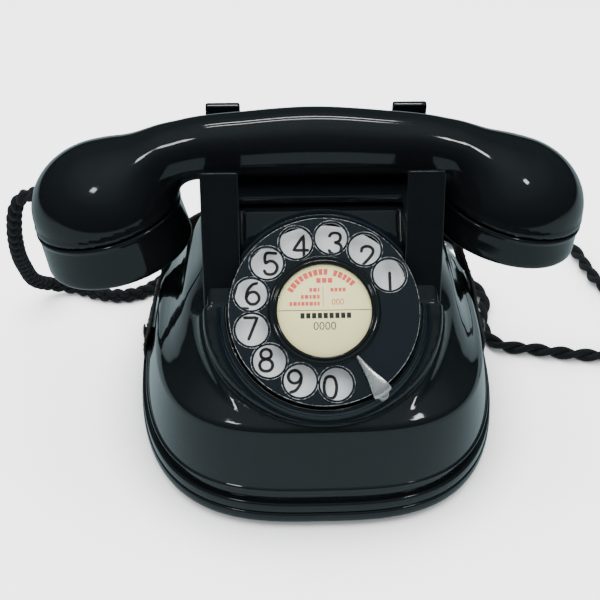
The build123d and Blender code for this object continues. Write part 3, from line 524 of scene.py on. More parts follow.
PALE_SPECK = (0.10, 0.11, 0.11)
MATERIALS = {
    "enamel": material(
        "gloss_black_enamel", base=(0.0035, 0.0045, 0.0052), rough=0.055, coat=(0.35, 0.03),
        bump=(38, 0.05, 0.0010), bump_detail=2, vary=(60, 0.02),
        speck=(420, 0.05, PALE_SPECK), speck_range=(0.66, 0.80)),
    "bakelite": material(
        "polished_phenolic", base=(0.003, 0.0036, 0.004), rough=0.07, coat=(0.25, 0.04),
        bump=(30, 0.05, 0.0010), bump_detail=2, vary=(45, 0.03),
        speck=(600, 0.05, PALE_SPECK), speck_range=(0.66, 0.82)),
    "wheel": material(
        "wheel_enamel", base=(0.003, 0.005, 0.007), rough=0.16, coat=(0.2, 0.1),
        bump=(900, 0.03, 0.0002), vary=(160, 0.05),
        speck=(800, 0.10, (0.12, 0.13, 0.13)), speck_range=(0.62, 0.80)),
    # painted highlight: grey metal that draws bright highlight lines on the finger wheel's
    # bevels, hole rims and edge
    "painted_highlight": material(
        "painted_highlight_metal", base=(0.34, 0.36, 0.37), rough=0.32, metal=0.3,
        bump=(1500, 0.25, 0.0003), bump_detail=4, vary=(900, 0.12),
        speck=(700, 0.95, (0.012, 0.014, 0.016)), speck_range=(0.44, 0.56)),
    "ring": material(
        "number_ring_enamel", base=(0.62, 0.66, 0.665), rough=0.24, coat=(0.3, 0.12),
        bump=(700, 0.05, 0.0002), vary=(200, 0.06),
        speck=(260, 0.25, (0.42, 0.45, 0.44)), speck_range=(0.5, 0.75)),
    "ink": material(
        "black_print", base=(0.012, 0.013, 0.015), rough=0.35,
        bump=(2500, 0.1, 0.0001), vary=(500, 0.1), speck=(1500, 0.2, (0.06, 0.06, 0.06))),
    "red_ink": material(
        "red_print", base=(0.58, 0.045, 0.035), rough=0.45,
        bump=(2500, 0.1, 0.0001), vary=(500, 0.1), speck=(1200, 0.35, (0.75, 0.25, 0.2))),
    "chrome": material(
        "worn_chrome", base=(0.62, 0.63, 0.64), rough=0.2, metal=0.86,
        bump=(1800, 0.12, 0.0002), bump_detail=4, vary=(900, 0.10),
        speck=(1100, 0.6, (0.25, 0.26, 0.27)), speck_range=(0.5, 0.7)),
    "steel": material(
        "zinc_steel", base=(0.50, 0.51, 0.52), rough=0.38, metal=1.0,
        bump=(900, 0.15, 0.0003), bump_detail=4, vary=(300, 0.12),
        speck=(400, 0.5, (0.30, 0.30, 0.29))),
    "spring": material(
        "blued_spring", base=(0.10, 0.12, 0.17), rough=0.3, metal=1.0,
        bump=(1200, 0.1, 0.0002), vary=(400, 0.1), speck=(700, 0.5, (0.2, 0.18, 0.14))),
    "brass": material(
        "aged_brass", base=(0.60, 0.43, 0.18), rough=0.33, metal=1.0,
        bump=(1000, 0.12, 0.0002), bump_detail=4, vary=(350, 0.12),
        speck=(300, 0.6, (0.30, 0.20, 0.09))),
    "nickel": material(
        "nickel_silver", base=(0.60, 0.57, 0.48), rough=0.3, metal=1.0,
        bump=(1000, 0.1, 0.0002), vary=(350, 0.1), speck=(500, 0.4, (0.38, 0.35, 0.29))),
    "winding": material(
        "taped_winding", base=(0.07, 0.15, 0.09), rough=0.7,
        bump=(2600, 0.5, 0.0004), bump_detail=2, vary=(400, 0.1),
        speck=(500, 0.4, (0.03, 0.07, 0.05)), sheen=0.2),
    "phenolic": material(
        "brown_phenolic", base=(0.13, 0.065, 0.035), rough=0.42,
        bump=(1400, 0.15, 0.0002), bump_detail=4, vary=(300, 0.1),
        speck=(700, 0.5, (0.22, 0.12, 0.07))),
    "can": material(
        "drawn_can", base=(0.58, 0.59, 0.60), rough=0.4, metal=1.0,
        bump=(1200, 0.15, 0.0003), bump_detail=4, vary=(200, 0.15),
        speck=(350, 0.4, (0.40, 0.40, 0.39))),
    "rubber": material(
        "moulded_rubber", base=(0.018, 0.018, 0.018), rough=0.75,
        bump=(1800, 0.35, 0.0004), bump_detail=4, vary=(300, 0.12),
        speck=(600, 0.4, (0.05, 0.05, 0.05))),
    "clear": glass_material(),
    "card": material(
        "printed_card", base=(0.70, 0.67, 0.34), rough=0.6,
        bump=(1800, 0.15, 0.0001), bump_detail=5, vary=(300, 0.08),
        speck=(120, 0.35, (0.66, 0.60, 0.42)), speck_range=(0.4, 0.75)),
    "textile": cloth_material(),
    "leather": leather_material(),
}

SLOT_MATERIALS = {
    "black_enamel": "enamel", "bakelite": "bakelite", "steel": "steel",
    "spring_steel": "spring", "chrome": "chrome", "brass": "brass",
    "nickel_leaf": "nickel", "bell_steel": "steel", "winding": "winding",
    "phenolic": "phenolic", "can": "can", "rubber": "rubber", "textile": "textile",
    "leather": "leather", "ring_white": "ring", "paper": "card", "clear": "clear",
}


def dress_cad_pieces():
    for part in frame["record"]["subparts"]:
        mat = MATERIALS[SLOT_MATERIALS[part["material_slot"]]]
        if part["node"] == "line_terminals":
            mat = MATERIALS["steel"]
        slots = frame["nodes"][part["node"]].data.materials
        if len(slots) == 0:
            slots.append(mat)
        for i in range(len(slots)):
            slots[i] = mat


dress_cad_pieces()

# ----------------------------------------------------------------- case
# Plan outlines: half width, front y, rear y, y of the widest place,
# then how square the front and rear are (exponents). Tables put z first.
SHOULDER = [
    (46.0, 84.5, -108.0, 78.0, 13.0, 3.4, 2.8),
    (50.0, 75.6, -97.8, 68.3, 10.0, 3.45, 2.85),
    (52.5, 72.3, -92.5, 64.0, 7.5, 3.5, 2.9),
    (55.0, 69.8, -88.5, 60.5, 5.0, 3.5, 3.0),
    (59.0, 66.9, -81.0, 55.0, 0.0, 3.6, 3.1),
    (65.0, 63.6, -71.5, 47.0, -5.0, 3.9, 3.3),
    (73.0, 60.3, -62.0, 38.5, -8.0, 4.3, 3.7),
    (82.0, 57.2, -53.2, 31.0, -10.0, 4.8, 4.2),
    (92.0, 52.2, -49.4, 25.0, -11.0, 5.4, 4.8),
    (102.0, 47.0, -47.2, 21.0, -12.0, 6.0, 5.4),
    (110.0, 45.9, -45.2, 18.8, -13.0, 6.4, 6.0),
    (116.4, 45.4, -43.6, 17.6, -13.0, 6.6, 6.4),
    (122.0, 44.6, -42.4, 16.8, -13.0, 6.7, 6.5),
]
SKIRT = [(20.0, 79.8, -94.0, 87.2, 26.9, 3.2, 2.8), SHOULDER[2]]
FLANGE = np.array((83.4, -94.4, 94.4, 36.0, 3.06, 2.9))
SKIRT_FOOT = np.array((79.6, -93.9, 86.5, 26.0, 3.2, 2.8))
BASE = np.array((84.0, -95.0, 95.0, 39.0, 3.06, 2.9))

CASE_TOP = 116.4
SKIN_BOTTOM = 20.5
DRUM_HALF_WIDTH = 48.6
DRUM_DROP = 44.0  # from the dial's centre to the drum's lowest point
DRUM_TOP = 3.7
DRUM_BACK = -24.0  # s where the drum and its collar end inside the body
PAD_HALF_WIDTH = 31.5
PAD_U = (-6.0, 43.6)
PAD_CORNER = 1.6
WELL_RADIUS = 38.2
WELL_FLOOR = -9.0
PLUNGER_HOLE_RADIUS = 5.0
PLUNGER_HOLE_FLOOR = 108.0


def oval_body(table):
    """Body whose plan outline follows a table of outlines over z."""
    table = np.array(table)

    def fn(p):
        q = hermite(table[:, 0], table[:, 1:], p[..., 2])
        width, y_front, y_rear, y_mid, n_front, n_rear = [q[..., i] for i in range(6)]
        dy = p[..., 1] - y_mid
        front = dy < 0
        reach = np.where(front, y_mid - y_front, y_rear - y_mid)
        n = np.where(front, n_front, n_rear)
        return (((np.abs(p[..., 0]) / width + 1e-9) ** n
                 + (np.abs(dy) / reach + 1e-9) ** n) ** (1 / n) - 1)
    return as_distance(fn)


shoulder_body = oval_body(SHOULDER)
skirt_body = oval_body(SKIRT)


def ellipse_distance(x, u, a, b):
    k0 = np.sqrt((x / a) ** 2 + (u / b) ** 2)
    k1 = np.sqrt((x / a ** 2) ** 2 + (u / b ** 2) ** 2)
    return np.where(k0 > 0.05, k0 * (k0 - 1) / np.clip(k1, 1e-6, None), -b)


def pad_distance(x, u):
    """Outline of the pad plate, a rectangle with rounded corners."""
    low, high = PAD_U
    qx = np.abs(x) - PAD_HALF_WIDTH + PAD_CORNER
    qu = np.abs(u - (low + high) / 2) - (high - low) / 2 + PAD_CORNER
    outer = np.sqrt(np.clip(qx, 0, None) ** 2 + np.clip(qu, 0, None) ** 2)
    return outer + np.minimum(np.maximum(qx, qu), 0) - PAD_CORNER


def drum_distance(x, u):
    """Outline of the drum: an upright U, open upwards."""
    low = ellipse_distance(x, u, DRUM_HALF_WIDTH, DRUM_DROP)
    return np.where(u < 0, low, np.abs(x) - DRUM_HALF_WIDTH)


def case_fn(p):
    q = p - DIAL_CENTRE
    x, u, s = q[..., 0], q @ DIAL_UP, q @ DIAL_OUT + DIAL_RISE
    body = overlap(skirt_body(p), shoulder_body(p), blend=1.9)
    body = overlap(body, p[..., 2] - CASE_TOP, blend=4.0)
    # the neck is cut back in front of the pad
    cut = overlap(overlap(np.abs(x) - 33.4, -(s + 0.6), blend=1.5), -(u - 8), blend=2.0)
    body = overlap(body, -cut, blend=1.2)
    # drum, its face raised a little near the rim
    outline = drum_distance(x, u)
    face = s - 0.35 * np.clip(1 - np.abs(outline + 1.9) / 1.6, 0, 1) ** 2
    drum = overlap(outline, face, blend=3.4)
    drum = overlap(drum, u - DRUM_TOP, blend=1.0)
    drum = overlap(drum, DRUM_BACK - s, blend=2.0)
    # collar where the drum meets the shoulder
    collar = overlap(overlap(outline - 2.0, s + 10.5, blend=1.2), u - 2.5, blend=1.0)
    collar = overlap(collar, DRUM_BACK - s, blend=2.0)
    neck = overlap(np.abs(x) - 47.0, s + 0.5, blend=3.0)
    neck = overlap(neck, np.abs(u - 12) - 14, blend=3.0)
    neck = overlap(neck, -(s + 14), blend=2.0)
    pad = overlap(pad_distance(x, u), s, blend=0.9)
    pad = overlap(pad, -(s + 16), blend=2.0)
    f = union(body, collar, blend=4.5)
    f = union(f, drum, blend=1.6)
    f = union(f, neck, blend=2.0)
    f = union(f, pad, blend=0.6)
    # well for the number ring, plunger hole and flat underside
    r = np.sqrt(x * x + u * u)
    f = overlap(f, -np.maximum(r - WELL_RADIUS, WELL_FLOOR - s), blend=0.8)
    r = np.sqrt(p[..., 0] ** 2 + (p[..., 1] - PLUNGER_Y) ** 2)
    f = np.maximum(f, -np.maximum(r - PLUNGER_HOLE_RADIUS, PLUNGER_HOLE_FLOOR - p[..., 2]))
    return np.maximum(f, SKIN_BOTTOM - p[..., 2])


def stacked_outlines(name, rows):
    """Skin through plan outlines (z first), each with evenly spaced points."""
    count = 256
    t = 2 * math.pi * np.arange(count) / count
    s, c = np.sin(t), np.cos(t)
    verts = []
    for z, width, y_front, y_rear, y_mid, n_front, n_rear in rows:
        n = np.where(c >= 0, n_front, n_rear)
        x = width * np.abs(s) ** (2 / n) * np.sign(s)
        y = y_mid + (np.where(c >= 0, y_front, y_rear) - y_mid) * np.abs(c) ** (2 / n)
        closed = np.stack([np.append(x, x[0]), np.append(y, y[0])], -1)
        run = run_length(closed)
        at = np.linspace(0, run[-1], count, endpoint=False)
        x, y = (np.interp(at, run, closed[:, i]) for i in range(2))
        verts.append(np.stack([x, y, np.full(count, z)], -1))
    faces = [face[::-1] for face in ring_faces(len(rows), count)]
    return mesh_object(name, np.concatenate(verts), faces)


def outline_row(z, offset, outline):
    """A plan outline at height z, grown outwards by offset."""
    width, y_front, y_rear, *rest = outline
    return (z, width + offset, y_front - offset, y_rear + offset, *rest)


def arc(z, offset, r, start, end, share, steps=7):
    """Arc in the edge profile, angles in degrees up from the horizontal."""
    return [(z + r * math.sin(math.radians(a)), offset + r * math.cos(math.radians(a)), share)
            for a in np.linspace(start, end, steps)]


# Flange, recessed band and the bead at the foot of the skirt: z, offset outwards,
# and share of the skirt-foot outline against the flange outline.
CASE_EDGE = [
    (8.55, -6.0, 0.0), (8.55, -1.0, 0.0),
    *arc(9.4, -0.85, 0.85, -80, 0, 0.0),
    (11.5, 0.0, 0.0),
    *arc(12.3, -1.2, 1.2, 0, 80, 0.0),
    (13.55, -2.2, 0.25), (13.7, -2.6, 0.9), (14.2, -1.9, 1.0), (15.5, -1.5, 1.0),
    (17.5, -1.4, 1.0), (19.3, -1.3, 1.0), (20.3, -1.0, 1.0),
    *arc(21.4, -0.15, 0.9, -70, 70, 1.0, steps=9),
    (22.6, -0.25, 1.0), (23.1, -0.35, 1.0), (23.2, -3.0, 1.0),
]
# Rounded edge of the base: z, offset outwards.
BASE_EDGE = [
    (3.0, -12.0), (3.0, -3.0), (3.15, -1.9), (3.7, -0.9), (4.5, -0.25), (5.4, 0.0),
    (6.6, 0.0), (7.4, -0.15), (8.05, -0.6), (8.38, -1.4), (8.4, -2.2), (8.4, -8.0),
]
BASE_SPREAD = 1.0008  # plan scale of the finished rim


def build_case():
    verts, faces, normals = surface(case_fn, (-84, -97, 19), (84, 92, 120), NET_STEP)
    # the flat underside is left open
    faces = faces[verts[faces][:, :, 2].max(1) > SKIN_BOTTOM + 0.25]
    skin = mesh_object("case_skin", verts, faces.tolist(), normals)
    low = stacked_outlines("case_low", [
        outline_row(z, offset, FLANGE * (1 - share) + SKIRT_FOOT * share)
        for z, offset, share in CASE_EDGE])
    put(join("case_skin", [skin, low]), "housing", "enamel", "black_enamel", "case")

    rim = stacked_outlines("base_rim", [outline_row(*row, BASE) for row in BASE_EDGE])
    for vert in rim.data.vertices:
        vert.co.x *= BASE_SPREAD
        vert.co.y *= BASE_SPREAD
    put(rim, "housing", "enamel", "black_enamel")


build_case()

# ----------------------------------------------------------------- handset
# Stations along the handle: x, z of the centre, half depth in y, half height in z.
HANDLE = np.array([
    (-112, 96.0, 15.5, 8.0),
    (-92, 114.5, 15.5, 10.0),
    (-83, 121.6, 15.2, 11.6),
    (-75, 127.6, 14.8, 12.6),
    (-57, 134.3, 13.2, 12.4),
    (-30, 136.9, 13.2, 13.4),
    (-2.5, 137.9, 13.5, 14.2),
    (25, 136.9, 13.2, 13.4),
    (51.5, 134.3, 13.2, 12.4),
    (67, 129.2, 14.8, 12.6),
    (76, 124.2, 15.2, 11.6),
    (86, 117.0, 15.5, 10.0),
    (106, 98.5, 15.5, 8.0),
])
HANDLE_ENDS = (-88, 82)
SHELL_RADIUS = 30.9
DOME_RISE = 25.9
CHAMBER_RADIUS = 26.6
BOSS_START = np.array([-90.6, HANDSET_Y, 106.5])
BOSS_AXIS = np.array([-0.915, 0.402, 0.0])
BOSS_RADIUS, BOSS_LENGTH = 5.2, 32.6
BORE_RADIUS, BORE_START = 3.9, 26.0


def cup(name, node, x, z, lean, joint, height, dish):
    """A cup: mouth centre, lean in degrees; joint and height are measured up its axis."""
    t = math.radians(lean)
    return SimpleNamespace(
        name=name, node=node, joint=joint, height=height, dish=dish,
        origin=np.array([x, HANDSET_Y, z]),
        across=np.array([math.cos(t), 0, math.sin(t)]),
        axis=np.array([-math.sin(t), 0, math.cos(t)]))


CUPS = [
    cup("mouth_cap", "transmitter_cap", x=-85.6, z=87.2, lean=12,
        joint=20.0, height=49.5, dish=3.2),
    cup("ear_cap", "receiver_cap", x=79.7, z=94.6, lean=-12,
        joint=14.0, height=41.5, dish=2.6),
]


def axis_coordinates(p, origin, axis):
    """Height along an axis and distance from it."""
    q = p - origin
    h = q @ axis
    return h, np.linalg.norm(q - h[..., None] * axis, axis=-1)


def cup_shell(c):
    """Domed shell above a cup's joint, with a rounded lip."""
    power = 2.05

    def dome(p):
        q = p - c.origin
        r = np.sqrt((q @ c.across) ** 2 + q[..., 1] ** 2)
        up = np.clip(q @ c.axis - (c.height - DOME_RISE), 0, None) / DOME_RISE
        return ((r / SHELL_RADIUS) ** power + up ** power) ** (1 / power) - 1

    dome = as_distance(dome)

    def shell(p):
        h, r = axis_coordinates(p, c.origin, c.axis)
        lip = overlap(r - 31.3, np.abs(h - c.joint - 1.9) - 1.5, blend=1.4)
        body = overlap(dome(p), (c.joint + 0.4) - h, blend=1.4)
        return union(body, lip, blend=0.9)
    return shell


def handle_fn(p):
    q = hermite(HANDLE[:, 0], HANDLE[:, 1:], p[..., 0])
    z, half_depth, half_height = q[..., 0], q[..., 1], q[..., 2]
    power = 2.25
    return (np.abs((p[..., 1] - HANDSET_Y) / half_depth) ** power
            + np.abs((p[..., 2] - z) / half_height) ** power + 1e-9) ** (1 / power) - 1


handle = as_distance(handle_fn)
shells = [cup_shell(c) for c in CUPS]


def handset_fn(p):
    x = p[..., 0]
    ends = np.maximum(HANDLE_ENDS[0] - x, x - HANDLE_ENDS[1])
    f = overlap(handle(p), ends, blend=9.0)
    for shell in shells:
        f = union(f, shell(p), blend=11.0)
    # entry boss for the cord
    t, d = axis_coordinates(p, BOSS_START, BOSS_AXIS)
    boss = overlap(overlap(d - BOSS_RADIUS, t - BOSS_LENGTH, blend=1.0), -t, blend=1.0)
    f = union(f, boss, blend=3.0)
    f = overlap(f, -overlap(d - BORE_RADIUS, BORE_START - t, blend=0.5), blend=0.6)
    for c in CUPS:
        h, r = axis_coordinates(p, c.origin, c.axis)
        # nothing near a cup reaches below its joint
        f = overlap(f, np.minimum(c.joint + 0.35 - h, 40 - r), blend=0.9)
        # chamber
        f = overlap(f, -np.maximum(r - CHAMBER_RADIUS, h - c.joint - 6), blend=0.5)
    return f


def build_handset():
    verts, faces, normals = surface(handset_fn, (-126, -46, 84), (118, 26, 155), NET_STEP)
    body = mesh_object("handset_body", verts, faces.tolist(), normals)
    put(body, "handset", "bakelite", "bakelite", "handset_handle")


def build_cap(c):
    """Screwed cap: dished face, rounded rim, wall up to the joint and a floor inside."""
    joint = c.joint
    profile = [
        (0.01, c.dish - 1.2), (8, c.dish - 1.3), (18, c.dish - 1.9), (26, 0.7), (29.0, 0.0),
        (30.0, 0.0), (31.2, 0.35), (31.8, 1.2), (32.0, 2.3), (31.85, 4.0), (31.5, joint * 0.5),
        (31.1, joint - 3.0), (31.15, joint - 2.3), (31.6, joint - 1.6), (31.7, joint - 0.9),
        (31.4, joint - 0.35), (30.9, joint - 0.1), (30.2, joint), (29.3, joint),
        (29.3, joint - 4), (29.3, 4.4), (28.0, 4.4), (0.01, 4.4),
    ]
    cap = revolve(c.name, profile, c.origin, c.axis, seg=200)
    put(cap, "handset", "bakelite", "bakelite", c.node)


build_handset()
for c in CUPS:
    build_cap(c)

# ----------------------------------------------------------------- dial
# Profiles are (radius, height above the drum's face).
HOLE_CIRCLE = 29.7
HOLE_RADIUS = 6.5
HOLE_START, HOLE_PITCH = 28.1, 27.72  # degrees
WHEEL_RADIUS = 38.1
WHEEL_BOTTOM, WHEEL_THICK = 5.8, 2.2
PRINT_S = 7.66  # print on the card


def hole_centre(k, turn=0.0):
    angle = math.radians(HOLE_START + HOLE_PITCH * k + turn)
    return HOLE_CIRCLE * math.cos(angle), HOLE_CIRCLE * math.sin(angle)


HOLES = [hole_centre(k) for k in range(10)]


def cut_for_prongs(obj, half_width):
    """Removes the faces beyond half_width at either side where the prongs pass."""
    def cut(bm):
        gone = []
        for face in bm.faces:
            centre = np.array(face.calc_center_median()) / MM - DIAL_CENTRE
            if abs(centre @ DIAL_RIGHT) > half_width and centre @ DIAL_UP > 3.0:
                gone.append(face)
        bmesh.ops.delete(bm, geom=gone, context="FACES")

    edit(obj, cut)


def build_bezel():
    bezel = revolve_on_dial("bezel_ring", [
        (38.95, 0.02), (38.95, 3.2), (39.1, 3.9), (39.5, 4.35), (40.1, 4.45), (40.7, 4.2),
        (41.1, 3.6), (41.3, 2.6), (41.6, 1.5), (42.4, 0.6), (43.6, 0.15), (44.0, 0.02)], 240)
    cut_for_prongs(bezel, 32.6)
    put(bezel, "housing", "wheel", "black_enamel", "dial_bezel")


def ring_tube(name, mat, x, u, r, s, thickness, seg, count=64):
    """Thin ring of round section lying in the dial's plane."""
    t = np.linspace(0, 2 * math.pi, count + 1)
    path = dial(x + r * np.cos(t), u + r * np.sin(t), s)
    obj = mesh_object(name, *tube(path, thickness, seg, cap=False))
    obj.data.materials.append(MATERIALS[mat])
    return obj


def build_finger_wheel():
    loops = [circle(WHEEL_RADIUS, 240)]
    loops += [circle(HOLE_RADIUS, 64, x, y)[::-1] for x, y in HOLES]
    loops.append(circle(18.9, 160)[::-1])
    wheel = flat("wheel_plate", loops, WHEEL_THICK, 0.55, dial_plane(WHEEL_BOTTOM))
    wheel.data.materials.clear()
    wheel.data.materials.append(MATERIALS["wheel"])
    wheel.data.materials.append(MATERIALS["painted_highlight"])
    # painted highlight: the upper bevels, facing mostly out of the dial, get the bright
    # highlight metal
    for polygon in wheel.data.polygons:
        facing = np.array(polygon.normal) @ DIAL_OUT
        polygon.material_index = 1 if 0.72 < facing < 0.97 else 0
    parts = [wheel]
    # rolled rims round the finger holes, each between two painted highlight lines
    for x, u in HOLES:
        parts += [
            ring_tube("rim", "wheel", x, u, r=6.75, s=7.74, thickness=0.46, seg=10),
            ring_tube("rim_highlight", "painted_highlight", x, u, r=6.40, s=7.84, thickness=0.13, seg=6),
            ring_tube("rim_highlight", "painted_highlight", x, u, r=7.28, s=7.94, thickness=0.13, seg=6),
        ]
    # painted highlight line along the wheel's edge
    parts.append(ring_tube("edge_highlight", "painted_highlight", 0, 0, r=37.85, s=7.62, thickness=0.14,
                           seg=6, count=240))
    put(join("wheel_plate", parts), "dial", None, "black_enamel", "finger_wheel")


def build_dial_centre():
    hub = revolve_on_dial("wheel_hub", [
        (0.01, 7.1), (19.4, 7.1), (19.4, 6.0), (7.4, 5.8), (7.0, 5.4), (7.0, 1.9), (6.6, 1.7),
        (0.01, 1.7)], 64)
    put(hub, "dial", "steel", "steel")
    # label clamp ring: two beads with a groove between
    clamp = revolve_on_dial("clamp_ring", [
        (18.7, 7.3), (18.7, 8.3), (18.95, 8.9), (19.5, 9.25), (20.1, 9.05), (20.4, 8.75),
        (20.8, 8.95), (21.4, 9.1), (22.0, 8.8), (22.4, 8.3), (22.5, 7.6), (22.5, 7.3)], 200)
    put(clamp, "dial", "bakelite", "black_enamel", "label_ring")
    card = revolve_on_dial("card_disc", [
        (0.01, 7.62), (18.6, 7.62), (18.75, 7.5), (18.75, 7.2)], 128)
    put(card, "dial", "card", "paper", "label_card")
    window = revolve_on_dial("clear_disc", [
        (0.01, 8.62), (9, 8.58), (15, 8.45), (18.3, 8.25), (18.75, 8.15)], 128)
    put(window, "dial", "clear", "clear", "label_window")


def bar(x0, x1, u0, u1):
    return [(x0, u0), (x1, u0), (x1, u1), (x0, u1)]


def arc_bar(r0, r1, start, end):
    a = np.radians(np.linspace(start, end, 4))
    return ([(r1 * math.cos(t), r1 * math.sin(t)) for t in a]
            + [(r0 * math.cos(t), r0 * math.sin(t)) for t in a[::-1]])


def print_shapes(name, shapes, mat):
    """Flat printed shapes on the card, each a closed loop."""
    verts, faces = [], []
    for loop in shapes:
        faces.append(list(range(len(verts), len(verts) + len(loop))))
        verts += [dial(x, u, PRINT_S) for x, u in loop]
    put(mesh_object(name, verts, faces, smooth=False), "dial", mat, "paper")


def print_text(name, body, x, u, size, weight, mat):
    font = bpy.data.curves.new(name, "FONT")
    font.body = body
    font.size = size * MM
    font.align_x = "CENTER"
    font.align_y = "CENTER"
    font.extrude = 0.02 * MM
    font.offset = weight * MM
    obj = link(bpy.data.objects.new(name, font))
    obj.matrix_world = dial_plane(PRINT_S) @ Matrix.Translation((x * MM, u * MM, 0))
    put(to_mesh(obj, name), "dial", mat, "paper")


# Angles in degrees taken up by the marks round the top of the card; None is a space.
ARC_MARKS = [7.0, 8.4, 7.0, 7.4, 8.0, 7.0, 8.0, 7.4, 7.2, None, 7.4, 7.8, 6.8, 6.8, 7.2]
WORD_ROWS = [(7.6, -5.8), (4.8, -9.2), (2.0, -13.8)]  # u, left end x
WORD_END = -1.8
WORD_WIDTHS = (1.1, 1.4, 0.9, 1.3)


def print_card():
    red = []
    angle = 150.0
    for width in ARC_MARKS:
        if width:
            red.append(arc_bar(14.5, 16.9, angle, angle - width + 1.9))
        angle -= width or 7.0
    for k in range(3):
        red.append(bar(-3.0 + 2.3 * k, -1.2 + 2.3 * k, 11.2, 13.2))
    for u, x in WORD_ROWS:
        i = 0
        while x < WORD_END - 0.4:
            width = WORD_WIDTHS[i % 4]
            red.append(bar(x, min(x + width, WORD_END), u, u + 1.55))
            x += width + 0.42
            i += 1
    red.append(bar(-0.55, -0.3, 1.6, 9.6))
    for k in range(4):
        red.append(bar(2.6 + 1.6 * k, 3.8 + 1.6 * k, 7.6, 9.1))
    black = [bar(-18.2, 18.2, -0.05, 0.22)]
    for k in range(9):
        black.append(bar(-9.6 + 2.3 * k, -7.9 + 2.3 * k, -3.2, -0.95))
    print_shapes("card_print_red", red, "red_ink")
    print_shapes("card_print_black", black, "ink")
    print_text("card_zeros", "0000", x=0, u=-6.4, size=4.6, weight=-0.03, mat="ink")
    print_text("card_red_zeros", "000", x=5.4, u=3.3, size=3.4, weight=-0.02, mat="red_ink")


def build_number_ring():
    """White enamel ring, slightly dished, cut away under the prongs."""
    ring = revolve_on_dial("number_plate", [
        (19.0, -0.1), (19.0, 0.6), (19.3, 0.72), (24, 0.66), (30, 0.62), (36.2, 0.70),
        (36.7, 0.62), (36.9, 0.4), (36.9, -0.1)], 240)
    cut_for_prongs(ring, 32.9)
    put(ring, "housing", "ring", "ring_white", "number_ring")


# Digit strokes in a box of -1 to 1 each way.
DIGITS = {
    "1": [(0, 1), (0, -1)],
    "2": [(-0.52, 0.52), (-0.44, 0.84), (-0.12, 1.0), (0.22, 0.96), (0.48, 0.74),
          (0.5, 0.42), (0.3, 0.06), (-0.06, -0.36), (-0.38, -0.7), (-0.54, -1.0), (0.56, -1.0)],
    "3": [(-0.5, 0.7), (-0.3, 0.94), (0.04, 1.0), (0.38, 0.88), (0.48, 0.56), (0.34, 0.22),
          (0.0, 0.08), (0.36, -0.06), (0.54, -0.42), (0.4, -0.82), (0.02, -1.0),
          (-0.36, -0.92), (-0.56, -0.66)],
    "4": [(0.3, -1.0), (0.3, 1.0), (-0.62, -0.42), (0.66, -0.42)],
    "5": [(0.5, 0.98), (-0.38, 0.98), (-0.46, 0.1), (-0.1, 0.26), (0.28, 0.18),
          (0.54, -0.14), (0.54, -0.56), (0.3, -0.9), (-0.08, -1.0), (-0.42, -0.9),
          (-0.56, -0.64)],
    "6": [(0.38, 0.96), (-0.02, 0.82), (-0.4, 0.36), (-0.56, -0.2), (-0.5, -0.66),
          (-0.2, -0.97), (0.2, -0.97), (0.5, -0.68), (0.54, -0.3), (0.3, 0.06),
          (-0.04, 0.14), (-0.38, -0.02), (-0.54, -0.34)],
    "7": [(-0.56, 0.98), (0.56, 0.98), (-0.2, -1.0)],
    "8": [(0, 0.1), (-0.34, 0.24), (-0.46, 0.56), (-0.32, 0.88), (0, 1.0), (0.32, 0.88),
          (0.46, 0.56), (0.34, 0.24), (0, 0.1), (-0.4, -0.08), (-0.56, -0.46),
          (-0.4, -0.86), (0, -1.0), (0.4, -0.86), (0.56, -0.46), (0.4, -0.08), (0, 0.1)],
    "9": [(0.54, 0.34), (0.38, 0.02), (0.04, -0.14), (-0.3, -0.06), (-0.54, 0.3),
          (-0.5, 0.68), (-0.2, 0.97), (0.2, 0.97), (0.5, 0.66), (0.56, 0.2),
          (0.4, -0.36), (0.02, -0.82), (-0.38, -0.96)],
    "0": [(0, 1.0), (-0.34, 0.84), (-0.52, 0.3), (-0.52, -0.3), (-0.34, -0.84), (0, -1.0),
          (0.34, -0.84), (0.52, -0.3), (0.52, 0.3), (0.34, 0.84), (0, 1.0)],
}
STRAIGHT_DIGITS = {"1", "4", "7"}
DIGIT_SCALE = (4.6, 4.4)
DIGIT_TURN = -4.0  # degrees from the finger hole's centre
DIGIT_S = 0.76
STROKE_HALF_WIDTH = 0.62
STROKE_END_RADIUS = 0.56


def digit_line(digit):
    """Centre line of a digit, angular or curved."""
    points = np.array(DIGITS[digit], float) * DIGIT_SCALE
    count = len(points)
    if digit in STRAIGHT_DIGITS:
        t = np.linspace(0, 1, 6, endpoint=False)[:, None]
        legs = [a * (1 - t) + b * t for a, b in zip(points, points[1:])]
        return np.concatenate(legs + [points[-1:]])
    return hermite(np.arange(count), points, np.linspace(0, count - 1, count * 8))


def build_digit(digit, centre):
    """Ribbon of constant width with round ends."""
    line = digit_line(digit)
    count = len(line)
    along = np.gradient(line, axis=0)
    along /= np.linalg.norm(along, axis=1)[:, None] + 1e-9
    side = np.stack([-along[:, 1], along[:, 0]], -1)
    faces = [[i, count + i, count + i + 1, i + 1] for i in range(count - 1)]
    outline = [line + side * STROKE_HALF_WIDTH, line - side * STROKE_HALF_WIDTH]
    w = np.linspace(-math.pi / 2, math.pi / 2, 7)[:, None]
    for end, sign in ((0, -1), (count - 1, 1)):
        fan = np.cos(w) * along[end] * sign + np.sin(w) * side[end]
        outline.append(line[end] + STROKE_END_RADIUS * fan)
    faces += [list(range(start, start + 7)) for start in (2 * count, 2 * count + 7)]
    flat_points = np.concatenate(outline) + centre
    verts = dial(flat_points[:, 0], flat_points[:, 1], DIGIT_S)
    obj = mesh_object("digit_" + digit, verts, faces, smooth=False)
    obj.data.materials.append(MATERIALS["ink"])
    return obj


def build_digits():
    digits = [build_digit(str((k + 1) % 10), hole_centre(k, DIGIT_TURN)) for k in range(10)]
    put(join("dial_digits", digits), "housing", "ink", "ring_white")


